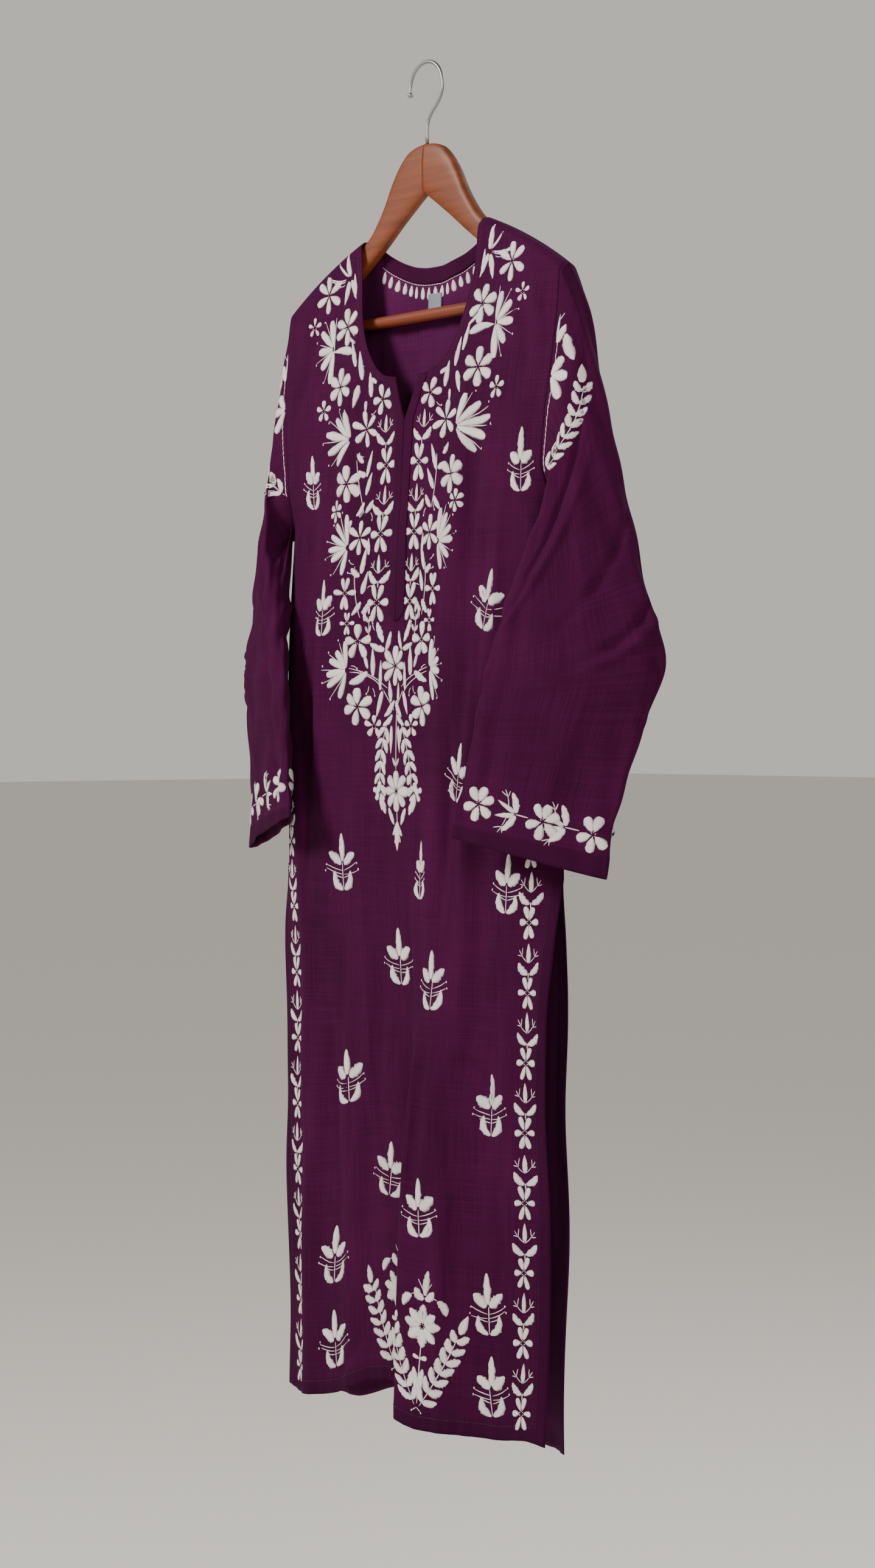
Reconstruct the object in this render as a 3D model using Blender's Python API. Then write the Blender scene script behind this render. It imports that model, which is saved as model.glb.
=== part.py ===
"""Kurta tunic hanging on a wooden clothes hanger, cut and sewn the way the real garment is.

Run with: blender --background --python part.py

Frame, in metres: X runs along the hanger towards the garment's left side, the front faces -Y,
and +Z is up. The origin is on the underside of the hook's arch, where a rail carries it.
"level" is always a height in this frame, and "u" is a distance measured on the flat cloth from
the centre line, positive towards the garment's left.
"""

import math
from collections import namedtuple

import bmesh
import bpy
import numpy as np

# Driving dimensions
CLOTH = 0.0010  # wall of the cloth pieces
SEAM_GAP = 0.0004  # between pieces that are sewn together
LIE_GAP = 0.0003  # between a piece and the panel it lies on
NECK_HALF = 0.0895  # half width of the neck opening at the shoulder seam
SHOULDER_TIP = 0.1990  # half width across the shoulders
SHOULDER_TOP = -0.1620  # level of the shoulder seam at the neck
SHOULDER_SLOPE = 0.371  # drop of the shoulder seam for each metre outwards, at the neck
SHOULDER_CURVE = 1.36  # and how much steeper it grows, per metre
UNDERARM = -0.455  # level where armhole and side seam meet
HEM = -1.3105  # level of the front hem
BACK_HEM = -1.320  # level of the back hem
OVER_HANGER_DROP = 0.010  # height in which the cloth turns over the hanger's top edge
LEAN = 0.010  # rise per metre towards the garment's left, because the hanger hangs askew
LEAN_FULL = -0.260  # level above which all of it shows
LEAN_GONE = -0.620  # level below which the cloth hangs straight again
SIDE_ROLL = 0.042  # length of cloth in which a panel rolls back to its side seam

# Neckline and its slit
BACK_NECK = -0.197  # lowest point of the back neckline
BACK_NECK_POWER = 2.1  # how flat the scoop is in its middle
SLIT_HALF = 0.018  # half width of the open neck slit at its top
SLIT_LEVEL = -0.3055  # level of the slit's two corners
SLIT_POINT = -0.3486  # level of the slit's point
PLACKET_WIDTH = 0.0125
PLACKET_POINT = -0.5430
PLACKET_TAPER = 0.012
FACING_WIDTH = 0.015
FACING_HALF = 0.0740
FACING_GAP = 0.0005
LABEL_HALF = 0.009
LABEL_LENGTH = 0.030

# Hanger
ARM_HALF_THICKNESS = 0.0068
ARM_END = 0.1950
ARM_TOP_GAP = 0.0027  # from the cloth's outer face down to the wood at the shoulder seam
BAR_LEVEL = -0.2450
BAR_RADIUS = 0.0058
BAR_HALF_LENGTH = 0.1700
MORTISE_START = 0.120  # clear of the wood's inner side
MORTISE_CLEARANCE = 0.0003
WIRE_RADIUS = 0.0018
HOOK_RADIUS = 0.0240  # of the wire's centreline round the arch
HOOK_OFFSET = -0.0015  # of the arch's centre from the stem
STEM_BEND = -0.0640  # level where the straight stem starts to bend
STEM_END = -0.1040  # level of the stem's end inside the wood
TIP_BALL = 0.0027

# Level, half width of the flat cloth, half span as it hangs, shift of the middle, then the
# depth (Y) of each panel's outer face at its middle and at its side edge.
Section = namedtuple(
    "Section", "level half_width half_span shift front_middle front_side back_middle back_side"
)
SECTIONS = (
    Section(-0.110, 0.199, 0.1990, 0.0000, -0.0110, -0.0110, 0.0110, 0.0110),
    Section(-0.200, 0.199, 0.1990, 0.0000, -0.0118, -0.0110, 0.0112, 0.0110),
    Section(-0.250, 0.200, 0.1985, 0.0000, -0.0180, -0.0130, 0.0115, 0.0110),
    Section(-0.310, 0.201, 0.1965, 0.0000, -0.0255, -0.0195, 0.0120, 0.0108),
    Section(-0.360, 0.198, 0.1910, 0.0000, -0.0290, -0.0235, 0.0122, 0.0105),
    Section(-0.400, 0.197, 0.1870, 0.0000, -0.0315, -0.0235, 0.0126, 0.0098),
    Section(-0.430, 0.204, 0.1905, 0.0000, -0.0330, -0.0160, 0.0130, 0.0060),
    Section(-0.455, 0.214, 0.1975, -0.001, -0.0342, -0.0055, 0.0134, -0.0033),
    Section(-0.600, 0.217, 0.2010, -0.004, -0.0365, -0.0055, 0.0150, -0.0033),
    Section(-0.790, 0.216, 0.2015, -0.0026, -0.0345, -0.0085, 0.0170, -0.0060),
    Section(-0.850, 0.212, 0.1975, 0.0005, -0.0340, -0.0180, 0.0176, -0.0010),
    Section(-0.920, 0.206, 0.1915, 0.0035, -0.0340, -0.0245, 0.0182, 0.0020),
    Section(-1.000, 0.204, 0.1900, 0.0008, -0.0336, -0.0220, 0.0186, 0.0024),
    Section(-1.100, 0.207, 0.1945, 0.0005, -0.0332, -0.0190, 0.0192, 0.0026),
    Section(-1.220, 0.205, 0.1912, -0.0010, -0.0328, -0.0155, 0.0200, 0.0028),
    Section(-1.330, 0.204, 0.1895, 0.0015, -0.0325, -0.0220, 0.0205, 0.0030),
)

# Folds of a panel: each is a ridge (positive height) or trough that starts at level "top",
# is fully formed at level "full", drifts from u_top to u_hem and has its own width each side.
# Its flanks are straight but for their two ends, which "rounding" gives as a share.
Fold = namedtuple("Fold", "top full u_top u_hem left right height rounding")
FRONT_FOLDS = (
    Fold(-0.690, -1.120, 0.062, 0.040, 0.044, 0.145, 0.0350, 0.16),  # centre ridge
    Fold(-0.780, -1.050, 0.112, 0.114, 0.032, 0.036, -0.0050, 0.35),  # trough on its flank
    Fold(-0.640, -0.900, -0.158, -0.156, 0.024, 0.040, 0.0060, 0.35),  # beside the right slit
    Fold(-0.700, -1.000, -0.078, -0.088, 0.026, 0.030, 0.0035, 0.35),  # on the right half
    Fold(-0.360, -0.480, 0.150, 0.140, 0.030, 0.034, -0.0045, 0.35),  # before the left sleeve
    Fold(-0.340, -0.480, -0.150, -0.140, 0.030, 0.034, -0.0040, 0.35),  # and the right one
)
BACK_FOLDS = (
    Fold(-0.480, -0.900, -0.030, -0.046, 0.060, 0.090, 0.0150, 0.35),
    Fold(-0.520, -0.950, 0.095, 0.108, 0.055, 0.050, 0.0110, 0.35),
    Fold(-0.560, -0.950, 0.035, 0.036, 0.030, 0.032, -0.0060, 0.35),
    Fold(-0.600, -1.000, -0.130, -0.132, 0.034, 0.034, -0.0050, 0.35),
)

# Where the hem is drawn up or hangs lower, on each panel: place, reach each side and rise.
Lift = namedtuple("Lift", "u left right rise")
FRONT_LIFTS = (
    Lift(-0.036, 0.105, 0.105, 0.0300),
    Lift(-0.172, 0.050, 0.050, -0.0050),
    Lift(0.183, 0.035, 0.030, 0.0040),
)
BACK_LIFTS = (Lift(-0.070, 0.070, 0.060, 0.0180), Lift(0.015, 0.060, 0.080, -0.0060))
LIFT_START = -0.740
LIFT_DEPTH = 0.560

# Neckline of the front, right half: distance from the centre and level.
Corner = namedtuple("Corner", "u level")
NECKLINE = (
    Corner(0.0000, SLIT_POINT),
    Corner(SLIT_HALF, SLIT_LEVEL),
    Corner(0.0340, -0.3025),
    Corner(0.0500, -0.2935),
    Corner(0.0620, -0.2790),
    Corner(0.0710, -0.2600),
    Corner(0.0780, -0.2370),
    Corner(0.0830, -0.2100),
    Corner(0.0860, -0.1750),
    Corner(0.0873, -0.1692),
    Corner(0.0886, -0.1642),
    Corner(NECK_HALF, SHOULDER_TOP),
)

# Left sleeve, from shoulder to cuff. "along" runs from 0 at the armhole to 1 at the cuff. The
# outer edge and the inner edge are the two folds of the flattened tube, front and back are how
# far its faces stand off the plane through them, and turn is the way the front face looks, in
# degrees from straight ahead towards the garment's side. The right sleeve mirrors it, with its
# outer edge hanging further in by right_in and its cuff drawn up by right_up.
SleeveSection = namedtuple(
    "SleeveSection",
    "along outer_x outer_y outer_z inner_x inner_y inner_z front back turn right_in right_up",
)
SLEEVE = (
    SleeveSection(
        0.00, 0.2010, 0.0000, -0.2220, 0.1940, -0.0045, -0.4560, 0.018, 0.012, 0.0, 0.000, 0.000
    ),
    SleeveSection(
        0.08, 0.2165, 0.0035, -0.2580, 0.2045, -0.0130, -0.4580, 0.019, 0.013, 7.0, 0.004, 0.000
    ),
    SleeveSection(
        0.20, 0.2385, 0.0085, -0.3450, 0.1880, -0.0370, -0.4840, 0.020, 0.013, 14.0, 0.011, 0.000
    ),
    SleeveSection(
        0.35, 0.2600, 0.0125, -0.4300, 0.1710, -0.0490, -0.5260, 0.020, 0.012, 21.0, 0.011, 0.000
    ),
    SleeveSection(
        0.50, 0.2830, 0.0155, -0.5150, 0.1580, -0.0555, -0.5690, 0.019, 0.010, 26.0, 0.007, 0.000
    ),
    SleeveSection(
        0.635, 0.3045, 0.0180, -0.5860, 0.1465, -0.0605, -0.6080, 0.017, 0.009, 27.0, 0.004, 0.000
    ),
    SleeveSection(
        0.74, 0.2890, 0.0075, -0.6480, 0.1400, -0.0645, -0.6480, 0.014, 0.009, 26.0, 0.003, 0.001
    ),
    SleeveSection(
        0.84, 0.2745, -0.0020, -0.7020, 0.1325, -0.0690, -0.6920, 0.011, 0.009, 25.0, 0.001, 0.005
    ),
    SleeveSection(
        0.93, 0.2645, -0.0085, -0.7450, 0.1250, -0.0730, -0.7240, 0.009, 0.008, 24.0, 0.000, 0.009
    ),
    SleeveSection(
        1.00, 0.2610, -0.0140, -0.7840, 0.1180, -0.0752, -0.7475, 0.009, 0.008, 24.0, 0.000, 0.013
    ),
)
SLEEVE_BLEND = 0.16  # part of the sleeve in which the armhole's curve fades out


def shoulder_level(u):
    """Level of the shoulder seam at a distance u from the centre; level with the neck inside."""
    outside = np.maximum(np.abs(u), NECK_HALF) - NECK_HALF
    return SHOULDER_TOP - SHOULDER_SLOPE * outside - SHOULDER_CURVE * outside**2


def under_seam(out):
    """Level of the wood's top edge where the shoulder seam rests on it."""
    return float(shoulder_level(out)) - ARM_TOP_GAP


# One arm of the hanger, from its middle to its end: distance out, top and bottom of the wood.
ArmSection = namedtuple("ArmSection", "out top bottom")
ARM = (
    ArmSection(0.0002, -0.0785, -0.1275),
    ArmSection(0.0120, -0.0798, -0.1355),
    ArmSection(0.0240, -0.0838, -0.1440),
    ArmSection(0.0360, -0.0940, -0.1525),
    ArmSection(0.0480, -0.1105, -0.1615),
    ArmSection(0.0580, -0.1290, -0.1690),
    ArmSection(0.0700, -0.1465, -0.1775),
    ArmSection(0.0800, -0.1580, -0.1845),
    ArmSection(NECK_HALF, under_seam(NECK_HALF), -0.1910),
    ArmSection(0.1150, under_seam(0.1150), -0.2085),
    ArmSection(0.1420, under_seam(0.1420), -0.2280),
    ArmSection(0.1630, under_seam(0.1630), -0.2510),
    ArmSection(0.1800, under_seam(0.1800), -0.2590),
    ArmSection(0.1900, under_seam(0.1900) - 0.0030, -0.2560),
    ArmSection(ARM_END, under_seam(ARM_END) - 0.0110, -0.2450),
)

# Mesh fineness
COLUMNS_BETWEEN_NECK_AND_SIDE = 5
ROLL_COLUMN = 0.191  # one more column where the cloth rolls back to the side seam
ARMHOLE_STEPS = 13
FRONT_STEPS_BELOW = 18
BACK_STEPS_BELOW = 14
SLEEVE_RINGS = 17
SLEEVE_SIDES = 2 * ARMHOLE_STEPS
ARC_SAMPLES = 48
NORMAL_STEP = 0.0008


def smooth_column(table, name, at):
    """Reads one column of a table at the given places of its first column, as a smooth curve."""
    rows = sorted(table)
    places = np.array([row[0] for row in rows], float)
    values = np.array([getattr(row, name) for row in rows], float)
    step = np.diff(values) / np.diff(places)
    slopes = np.empty(len(rows))
    slopes[0], slopes[-1] = step[0], step[-1]
    product = step[:-1] * step[1:]
    total = np.where(step[:-1] + step[1:] == 0, 1.0, step[:-1] + step[1:])
    slopes[1:-1] = np.where(product > 0, 2 * product / total, 0.0)
    at = np.clip(np.asarray(at, float), places[0], places[-1])
    i = np.clip(np.searchsorted(places, at, side="right") - 1, 0, len(rows) - 2)
    width = places[i + 1] - places[i]
    t = (at - places[i]) / width
    start = (1 + 2 * t) * (1 - t) ** 2 * values[i] + t * (1 - t) ** 2 * width * slopes[i]
    end = t * t * (3 - 2 * t) * values[i + 1] - t * t * (1 - t) * width * slopes[i + 1]
    return start + end


def smooth_step(t):
    """Rises softly from 0 to 1 as t goes from 0 to 1."""
    t = np.clip(t, 0.0, 1.0)
    return t * t * (3 - 2 * t)


def rounded_ramp(t, rounding):
    """Rises from 0 to 1 as t goes from 0 to 1, straight but for its two rounded ends."""
    t = np.clip(t, 0.0, 1.0)
    scale = 2 * rounding * (1 - rounding)
    middle = (t - rounding / 2) / (1 - rounding)
    return np.where(
        t < rounding,
        t * t / scale,
        np.where(t > 1 - rounding, 1 - (1 - t) ** 2 / scale, middle),
    )


def leaned(points):
    """The points with the small tilt that the hanger gives everything near it."""
    points = np.array(points, float)
    fade = smooth_step((points[..., 2] - LEAN_GONE) / (LEAN_FULL - LEAN_GONE))
    points[..., 2] += LEAN * points[..., 0] * fade
    return points


def fold_height(folds, u, level):
    """Sum of a panel's folds: each is full at its crest and fades to its own width each side."""
    total = np.zeros(np.broadcast(u, level).shape)
    for fold in folds:
        down = (fold.top - level) / (fold.top - fold.full)
        drift = np.clip((fold.top - level) / (fold.top - HEM), 0.0, 1.0)
        across = u - (fold.u_top + (fold.u_hem - fold.u_top) * drift)
        width = np.where(across < 0, fold.left, fold.right)
        shape = rounded_ramp(1 - np.abs(across) / width, fold.rounding)
        total = total + fold.height * smooth_step(down) * shape
    return total


def lift_height(lifts, u):
    """Sum of a panel's hem lifts at a place across it."""
    total = np.zeros(np.shape(u))
    for lift in lifts:
        reach = np.where(u < lift.u, lift.left, lift.right)
        total = total + lift.rise * smooth_step(1 - np.abs(u - lift.u) / reach)
    return total


class Panel:
    """The front or the back: a sheet hung from the shoulder seam, seen as depth over the flat cut."""

    def __init__(self, facing, middle, side, folds, lifts):
        self.facing = facing  # -1 looks to the front, +1 to the back
        self.middle = middle
        self.side = side
        self.folds = folds
        self.lifts = lifts

    def depth(self, u, level):
        """Y of the outer face: a flat middle that rolls to the side edge, with its folds."""
        width = smooth_column(SECTIONS, "half_width", level)
        middle = smooth_column(SECTIONS, self.middle, level)
        side = smooth_column(SECTIONS, self.side, level)
        roll = np.tanh((width - np.abs(u)) / SIDE_ROLL)
        y = side + (middle - side) * roll
        y = y + self.facing * fold_height(self.folds, u, level)
        below = np.clip((shoulder_level(u) - level) / OVER_HANGER_DROP, 0.0, 1.0)
        return y * np.sqrt(1 - (1 - below) ** 2)

    def reach(self, u, level):
        """X covered by the cloth from the centre line out to u: shorter where it runs in depth."""
        t = (np.arange(ARC_SAMPLES) + 0.5) / ARC_SAMPLES
        along = u[..., None] * t
        levels = level[..., None] + np.zeros(ARC_SAMPLES)
        rise = self.depth(along + NORMAL_STEP, levels) - self.depth(along - NORMAL_STEP, levels)
        slope = np.clip(rise / (2 * NORMAL_STEP), -0.95, 0.95)
        return u * np.sqrt(1 - slope**2).mean(axis=-1)

    def points(self, u, level):
        """Places of flat-cloth points (u, level) on the hanging panel's outer face."""
        u, level = np.broadcast_arrays(np.asarray(u, float), np.asarray(level, float))
        width = smooth_column(SECTIONS, "half_width", level)
        left, right = self.reach(width, level), self.reach(-width, level)
        span = smooth_column(SECTIONS, "half_span", level) / (0.5 * (left - right))
        x = (self.reach(u, level) - 0.5 * (left + right)) * span
        x = x + smooth_column(SECTIONS, "shift", level)
        y = self.depth(u, level)
        hang = smooth_step((LIFT_START - level) / LIFT_DEPTH)
        z = level + hang * lift_height(self.lifts, u)
        return leaned(np.stack([x, y, z], axis=-1))

    def normals(self, u, level):
        """Outward unit normals; on the shoulder seam they stand up from the seam line."""
        u, level = np.broadcast_arrays(np.asarray(u, float), np.asarray(level, float))
        seam = shoulder_level(u) - level < NORMAL_STEP
        low = np.where(seam, level - NORMAL_STEP, level)
        across = self.points(u + NORMAL_STEP, low) - self.points(u - NORMAL_STEP, low)
        down = self.points(u, low + NORMAL_STEP / 2) - self.points(u, low - NORMAL_STEP / 2)
        normal = -self.facing * np.cross(across, down)
        slope = (shoulder_level(np.abs(u)) - shoulder_level(np.abs(u) + NORMAL_STEP)) / NORMAL_STEP
        up = np.stack([slope * np.sign(u), np.zeros_like(u), np.ones_like(u)], axis=-1)
        normal = np.where(seam[..., None], up, normal)
        return normal / np.linalg.norm(normal, axis=-1, keepdims=True)


FRONT = Panel(-1, "front_middle", "front_side", FRONT_FOLDS, FRONT_LIFTS)
BACK = Panel(1, "back_middle", "back_side", BACK_FOLDS, BACK_LIFTS)


def front_neckline(u):
    """Level of the front's top edge: slit, round neck, then the shoulder seam."""
    inside = np.interp(np.abs(u), [c.u for c in NECKLINE], [c.level for c in NECKLINE])
    return np.where(np.abs(u) <= NECK_HALF, inside, shoulder_level(u))


def back_neckline(u):
    """Level of the back's top edge: a shallow scoop, then the shoulder seam."""
    scoop = BACK_NECK + (SHOULDER_TOP - BACK_NECK) * (np.abs(u) / NECK_HALF) ** BACK_NECK_POWER
    return np.where(np.abs(u) <= NECK_HALF, scoop, shoulder_level(u))


def mirrored(values):
    """The values and their negatives, in rising order, with one zero."""
    return sorted({-v for v in values} | set(values))


def wall_object(name, outer, inner, closed_round=False):
    """Closed wall between two grids of points (rows x columns), optionally round like a tube."""
    rows, columns = outer.shape[:2]
    mesh = bpy.data.meshes.new(name)
    points = np.concatenate([outer.reshape(-1, 3), inner.reshape(-1, 3)])
    offset = rows * columns
    faces = []
    last = columns if closed_round else columns - 1
    for row in range(rows - 1):
        for column in range(last):
            a = row * columns + column
            b = row * columns + (column + 1) % columns
            c, d = b + columns, a + columns
            faces.append((a, b, c, d))
            faces.append((d + offset, c + offset, b + offset, a + offset))
    for column in range(last):
        after = (column + 1) % columns
        bottom = (rows - 1) * columns
        faces.append((after, column, column + offset, after + offset))
        faces.append(
            (bottom + column, bottom + after, bottom + after + offset, bottom + column + offset)
        )
    if not closed_round:
        for row in range(rows - 1):
            a, b = row * columns, (row + 1) * columns
            faces.append((a, b, b + offset, a + offset))
            a, b = a + columns - 1, b + columns - 1
            faces.append((b, a, a + offset, b + offset))
    mesh.from_pydata(points.tolist(), [], faces)
    return finish_object(name, mesh)


def finish_object(name, mesh):
    """Links a mesh as an object, with its faces out, smooth but for sharp edges."""
    shape = bmesh.new()
    shape.from_mesh(mesh)
    bmesh.ops.recalc_face_normals(shape, faces=shape.faces)
    shape.to_mesh(mesh)
    shape.free()
    mesh.shade_smooth()
    mesh.set_sharp_from_angle(angle=math.radians(40))
    thing = bpy.data.objects.new(name, mesh)
    bpy.context.scene.collection.objects.link(thing)
    return thing


def paint(thing, material):
    """Gives an object its only material."""
    thing.data.materials.append(material)
    return thing


def make_material(name, colour, roughness, metallic=0.0):
    """A Principled BSDF material of one colour."""
    material = bpy.data.materials.new(name)
    material.use_nodes = True
    shader = material.node_tree.nodes["Principled BSDF"]
    shader.inputs["Base Color"].default_value = (*colour, 1.0)
    shader.inputs["Roughness"].default_value = roughness
    shader.inputs["Metallic"].default_value = metallic
    return material


def armhole_share():
    """Shares of the way down the armhole, close together at both ends, as round a circle."""
    return 0.5 - 0.5 * np.cos(np.linspace(0.0, math.pi, ARMHOLE_STEPS + 1))


def panel_grid(columns, top_edge, hem, steps_below):
    """Flat-cloth places of a panel's mesh: rows run level from the underarm down.

    Above it they share out the way from the top edge, so at the side edge they meet the
    sleeve's own points.
    """
    across = np.array(columns)
    top = top_edge(across)
    above = top + (UNDERARM - top) * armhole_share()[:, None]
    share = np.linspace(0.0, 1.0, steps_below + 1)[1:, None]
    below = UNDERARM + (hem - UNDERARM) * share + np.zeros(len(across))
    level = np.concatenate([above, below])
    width = smooth_column(SECTIONS, "half_width", level)
    return across / SHOULDER_TIP * width, level


def make_panel(name, panel, columns, top_edge, hem, steps_below):
    """A front or back panel as a thin wall, its outer face on the panel's own form."""
    u, level = panel_grid(columns, top_edge, hem, steps_below)
    outer = panel.points(u, level)
    outer[..., 1] += panel.facing * SEAM_GAP / 2
    inner = outer - CLOTH * panel.normals(u, level)
    if panel.facing > 0:
        outer, inner = outer[:, ::-1], inner[:, ::-1]
    return wall_object(name, outer, inner)


def make_front(material):
    """Front panel, with more columns at the neck's sides and on the centre ridge."""
    neck = [c.u for c in NECKLINE]
    outside = np.linspace(NECK_HALF, SHOULDER_TIP, COLUMNS_BETWEEN_NECK_AND_SIDE + 1)
    columns = mirrored([*neck, SLIT_HALF / 2, *outside.round(5).tolist(), ROLL_COLUMN])
    front = make_panel("front", FRONT, columns, front_neckline, HEM, FRONT_STEPS_BELOW)
    return paint(front, material)


def make_back(material):
    """Back panel with its shallow neckline."""
    neck = [0.0, 0.020, 0.040, 0.056, 0.068, 0.077, 0.083, 0.0872, NECK_HALF]
    outside = np.linspace(NECK_HALF, SHOULDER_TIP, COLUMNS_BETWEEN_NECK_AND_SIDE + 1)
    columns = mirrored([*neck, *outside.round(5).tolist(), ROLL_COLUMN])
    back = make_panel("back", BACK, columns, back_neckline, BACK_HEM, BACK_STEPS_BELOW)
    return paint(back, material)


def armhole_ring(side, angles):
    """Ring where a sleeve meets the body: down the front armhole and up the back one.

    Returns the points on the cloth's outer face and the unit normals there.
    """
    middle = 0.5 * (shoulder_level(SHOULDER_TIP) + UNDERARM)
    half = 0.5 * (shoulder_level(SHOULDER_TIP) - UNDERARM)
    level = middle + half * np.cos(angles)
    u = side * (smooth_column(SECTIONS, "half_width", level) + SEAM_GAP)
    front, back = FRONT.points(u, level), BACK.points(u, level)
    front_normal, back_normal = FRONT.normals(u, level), BACK.normals(u, level)
    share = np.where(np.sin(angles) > 1e-6, 1.0, np.where(np.sin(angles) < -1e-6, 0.0, 0.5))
    share = share[:, None]
    normal = share * front_normal + (1 - share) * back_normal
    normal = normal / np.linalg.norm(normal, axis=1, keepdims=True)
    return share * front + (1 - share) * back, normal


def sleeve_points(side, along, angles):
    """Places on a sleeve's outer face, rings down the sleeve and angles round it.

    A ring runs from the outer fold over the front face to the inner fold and back behind.
    """
    value = {name: smooth_column(SLEEVE, name, along) for name in SleeveSection._fields[1:]}
    right = 1.0 if side < 0 else 0.0
    outer_x = value["outer_x"] - right * value["right_in"]
    drawn_up = right * value["right_up"]
    outer = np.stack([outer_x, value["outer_y"], value["outer_z"] + drawn_up], axis=-1)
    inner = np.stack([value["inner_x"], value["inner_y"], value["inner_z"] + drawn_up], axis=-1)
    turn = np.radians(value["turn"])
    ahead = np.stack([np.sin(turn), -np.cos(turn), np.zeros_like(turn)], axis=-1)
    centre, half = 0.5 * (outer + inner), 0.5 * (outer - inner)
    sine = np.sin(angles)
    bulge = np.where(
        sine > 0, value["front"][:, None] * sine, value["back"][:, None] * sine
    )
    ring = centre[:, None] + half[:, None] * np.cos(angles)[None, :, None]
    ring = ring + ahead[:, None] * bulge[..., None]
    ring[..., 0] *= side
    return leaned(ring)


def make_sleeve(name, side, material):
    """A sleeve: one piece of cloth sewn into a flattened tube, open at armhole and cuff."""
    angles = np.linspace(0.0, 2 * math.pi, SLEEVE_SIDES, endpoint=False)
    along = np.linspace(0.0, 1.0, SLEEVE_RINGS)
    ring = sleeve_points(side, along, angles)
    armhole, armhole_normal = armhole_ring(side, angles)
    first = sleeve_points(side, np.zeros(1), angles)[0]
    fade = 1 - smooth_step(along / SLEEVE_BLEND)
    ring = ring + fade[:, None, None] * (armhole - first)[None]
    round_it = np.roll(ring, -1, axis=1) - np.roll(ring, 1, axis=1)
    down = np.gradient(ring, axis=0)
    normal = np.cross(round_it, down)
    normal = normal / np.linalg.norm(normal, axis=2, keepdims=True)
    middle = ring.mean(axis=1, keepdims=True)
    if np.mean(np.sum(normal * (ring - middle), axis=2)) < 0:
        normal = -normal
    normal[0] = armhole_normal
    inner = ring - CLOTH * normal
    return paint(wall_object(name, ring, inner, closed_round=True), material)


def lying_strip(name, panel, u, level, lift, thickness, material):
    """A strip sewn on a panel: the panel's own points, moved out by lift and by its thickness."""
    base, normal = panel.points(u, level), panel.normals(u, level)
    base[..., 1] += panel.facing * SEAM_GAP / 2
    outer = base + normal * (lift + thickness)
    inner = base + normal * lift
    return paint(wall_object(name, outer, inner), material)


def slit_half(level):
    """Half width of the open neck slit at a level."""
    return SLIT_HALF * np.clip((level - SLIT_POINT) / (SLIT_LEVEL - SLIT_POINT), 0.0, 1.0)


def make_placket(name, side, material):
    """One half of the placket: a strip down the slit's edge to a slanted point."""
    level = np.linspace(SLIT_LEVEL - 0.001, PLACKET_POINT, 18)
    edge = slit_half(level) + SEAM_GAP / 2
    width = PLACKET_WIDTH * np.clip((level - PLACKET_POINT + 0.003) / PLACKET_TAPER, 0.0, 1.0)
    share = np.linspace(0.0, 1.0, 4)
    u = side * (edge[:, None] + width[:, None] * share[None])
    levels = level[:, None] + np.zeros(len(share))
    return lying_strip(name, FRONT, u, levels, LIE_GAP, CLOTH, material)


def make_facing(material):
    """Band that faces the back neckline inside."""
    u = np.array(mirrored([0.0, 0.010, 0.020, 0.030, 0.040, 0.048, 0.056, 0.065, FACING_HALF]))
    share = np.linspace(0.0, 1.0, 3)
    top = back_neckline(u) - 0.0008
    level = top[None] - FACING_WIDTH * share[:, None]
    across = u[None] + np.zeros_like(level)
    lift = -(CLOTH + FACING_GAP + CLOTH)
    return lying_strip("neck_facing", BACK, across, level, lift, CLOTH, material)


def make_label(material):
    """Blank woven label that hangs below the facing, on the inside of the back."""
    u = np.array([-LABEL_HALF, 0.0, LABEL_HALF])
    top = BACK_NECK - FACING_WIDTH - 0.0024
    level = np.linspace(top, top - LABEL_LENGTH, 4)[:, None] + np.zeros(3)
    across = u[None] + np.zeros_like(level)
    lift = -(CLOTH + LIE_GAP + CLOTH)
    return lying_strip("neck_label", BACK, across, level, lift, CLOTH, material)


def make_arm(name, side, material):
    """One arm of the hanger: rounded wood sections from the middle joint to the tip."""
    angles = np.linspace(0.0, 2 * math.pi, 14, endpoint=False)
    round_y = np.sign(np.cos(angles)) * np.abs(np.cos(angles)) ** 0.6
    round_z = np.sign(np.sin(angles)) * np.abs(np.sin(angles)) ** 0.7
    shape = bmesh.new()
    loops = []
    for row in ARM:
        middle, half = 0.5 * (row.top + row.bottom), 0.5 * (row.top - row.bottom)
        thin = ARM_HALF_THICKNESS * (0.6 if row.out == ARM_END else 1.0)
        x = np.full(len(angles), side * row.out)
        ring = leaned(np.stack([x, thin * round_y, middle + half * round_z], axis=-1))
        loops.append([shape.verts.new(point) for point in ring])
    for loop, after in zip(loops, loops[1:]):
        for i in range(len(loop)):
            j = (i + 1) % len(loop)
            shape.faces.new((loop[i], loop[j], after[j], after[i]))
    shape.faces.new(loops[0])
    shape.faces.new(loops[-1])
    mesh = bpy.data.meshes.new(name)
    shape.to_mesh(mesh)
    shape.free()
    return paint(finish_object(name, mesh), material)


def make_cutter(name, start, end, radius):
    """Round cutter between two points, left out of the model itself."""
    cutter = swept_tube(name, np.array([start, end], float), np.array([radius, radius]), 16)
    cutter.hide_render = True
    cutter.display_type = "WIRE"
    return cutter


def cut(thing, cutter):
    """Cuts one solid from another with an exact Boolean."""
    modifier = thing.modifiers.new("cut_" + cutter.name, "BOOLEAN")
    modifier.operation = "DIFFERENCE"
    modifier.solver = "EXACT"
    modifier.object = cutter


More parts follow.
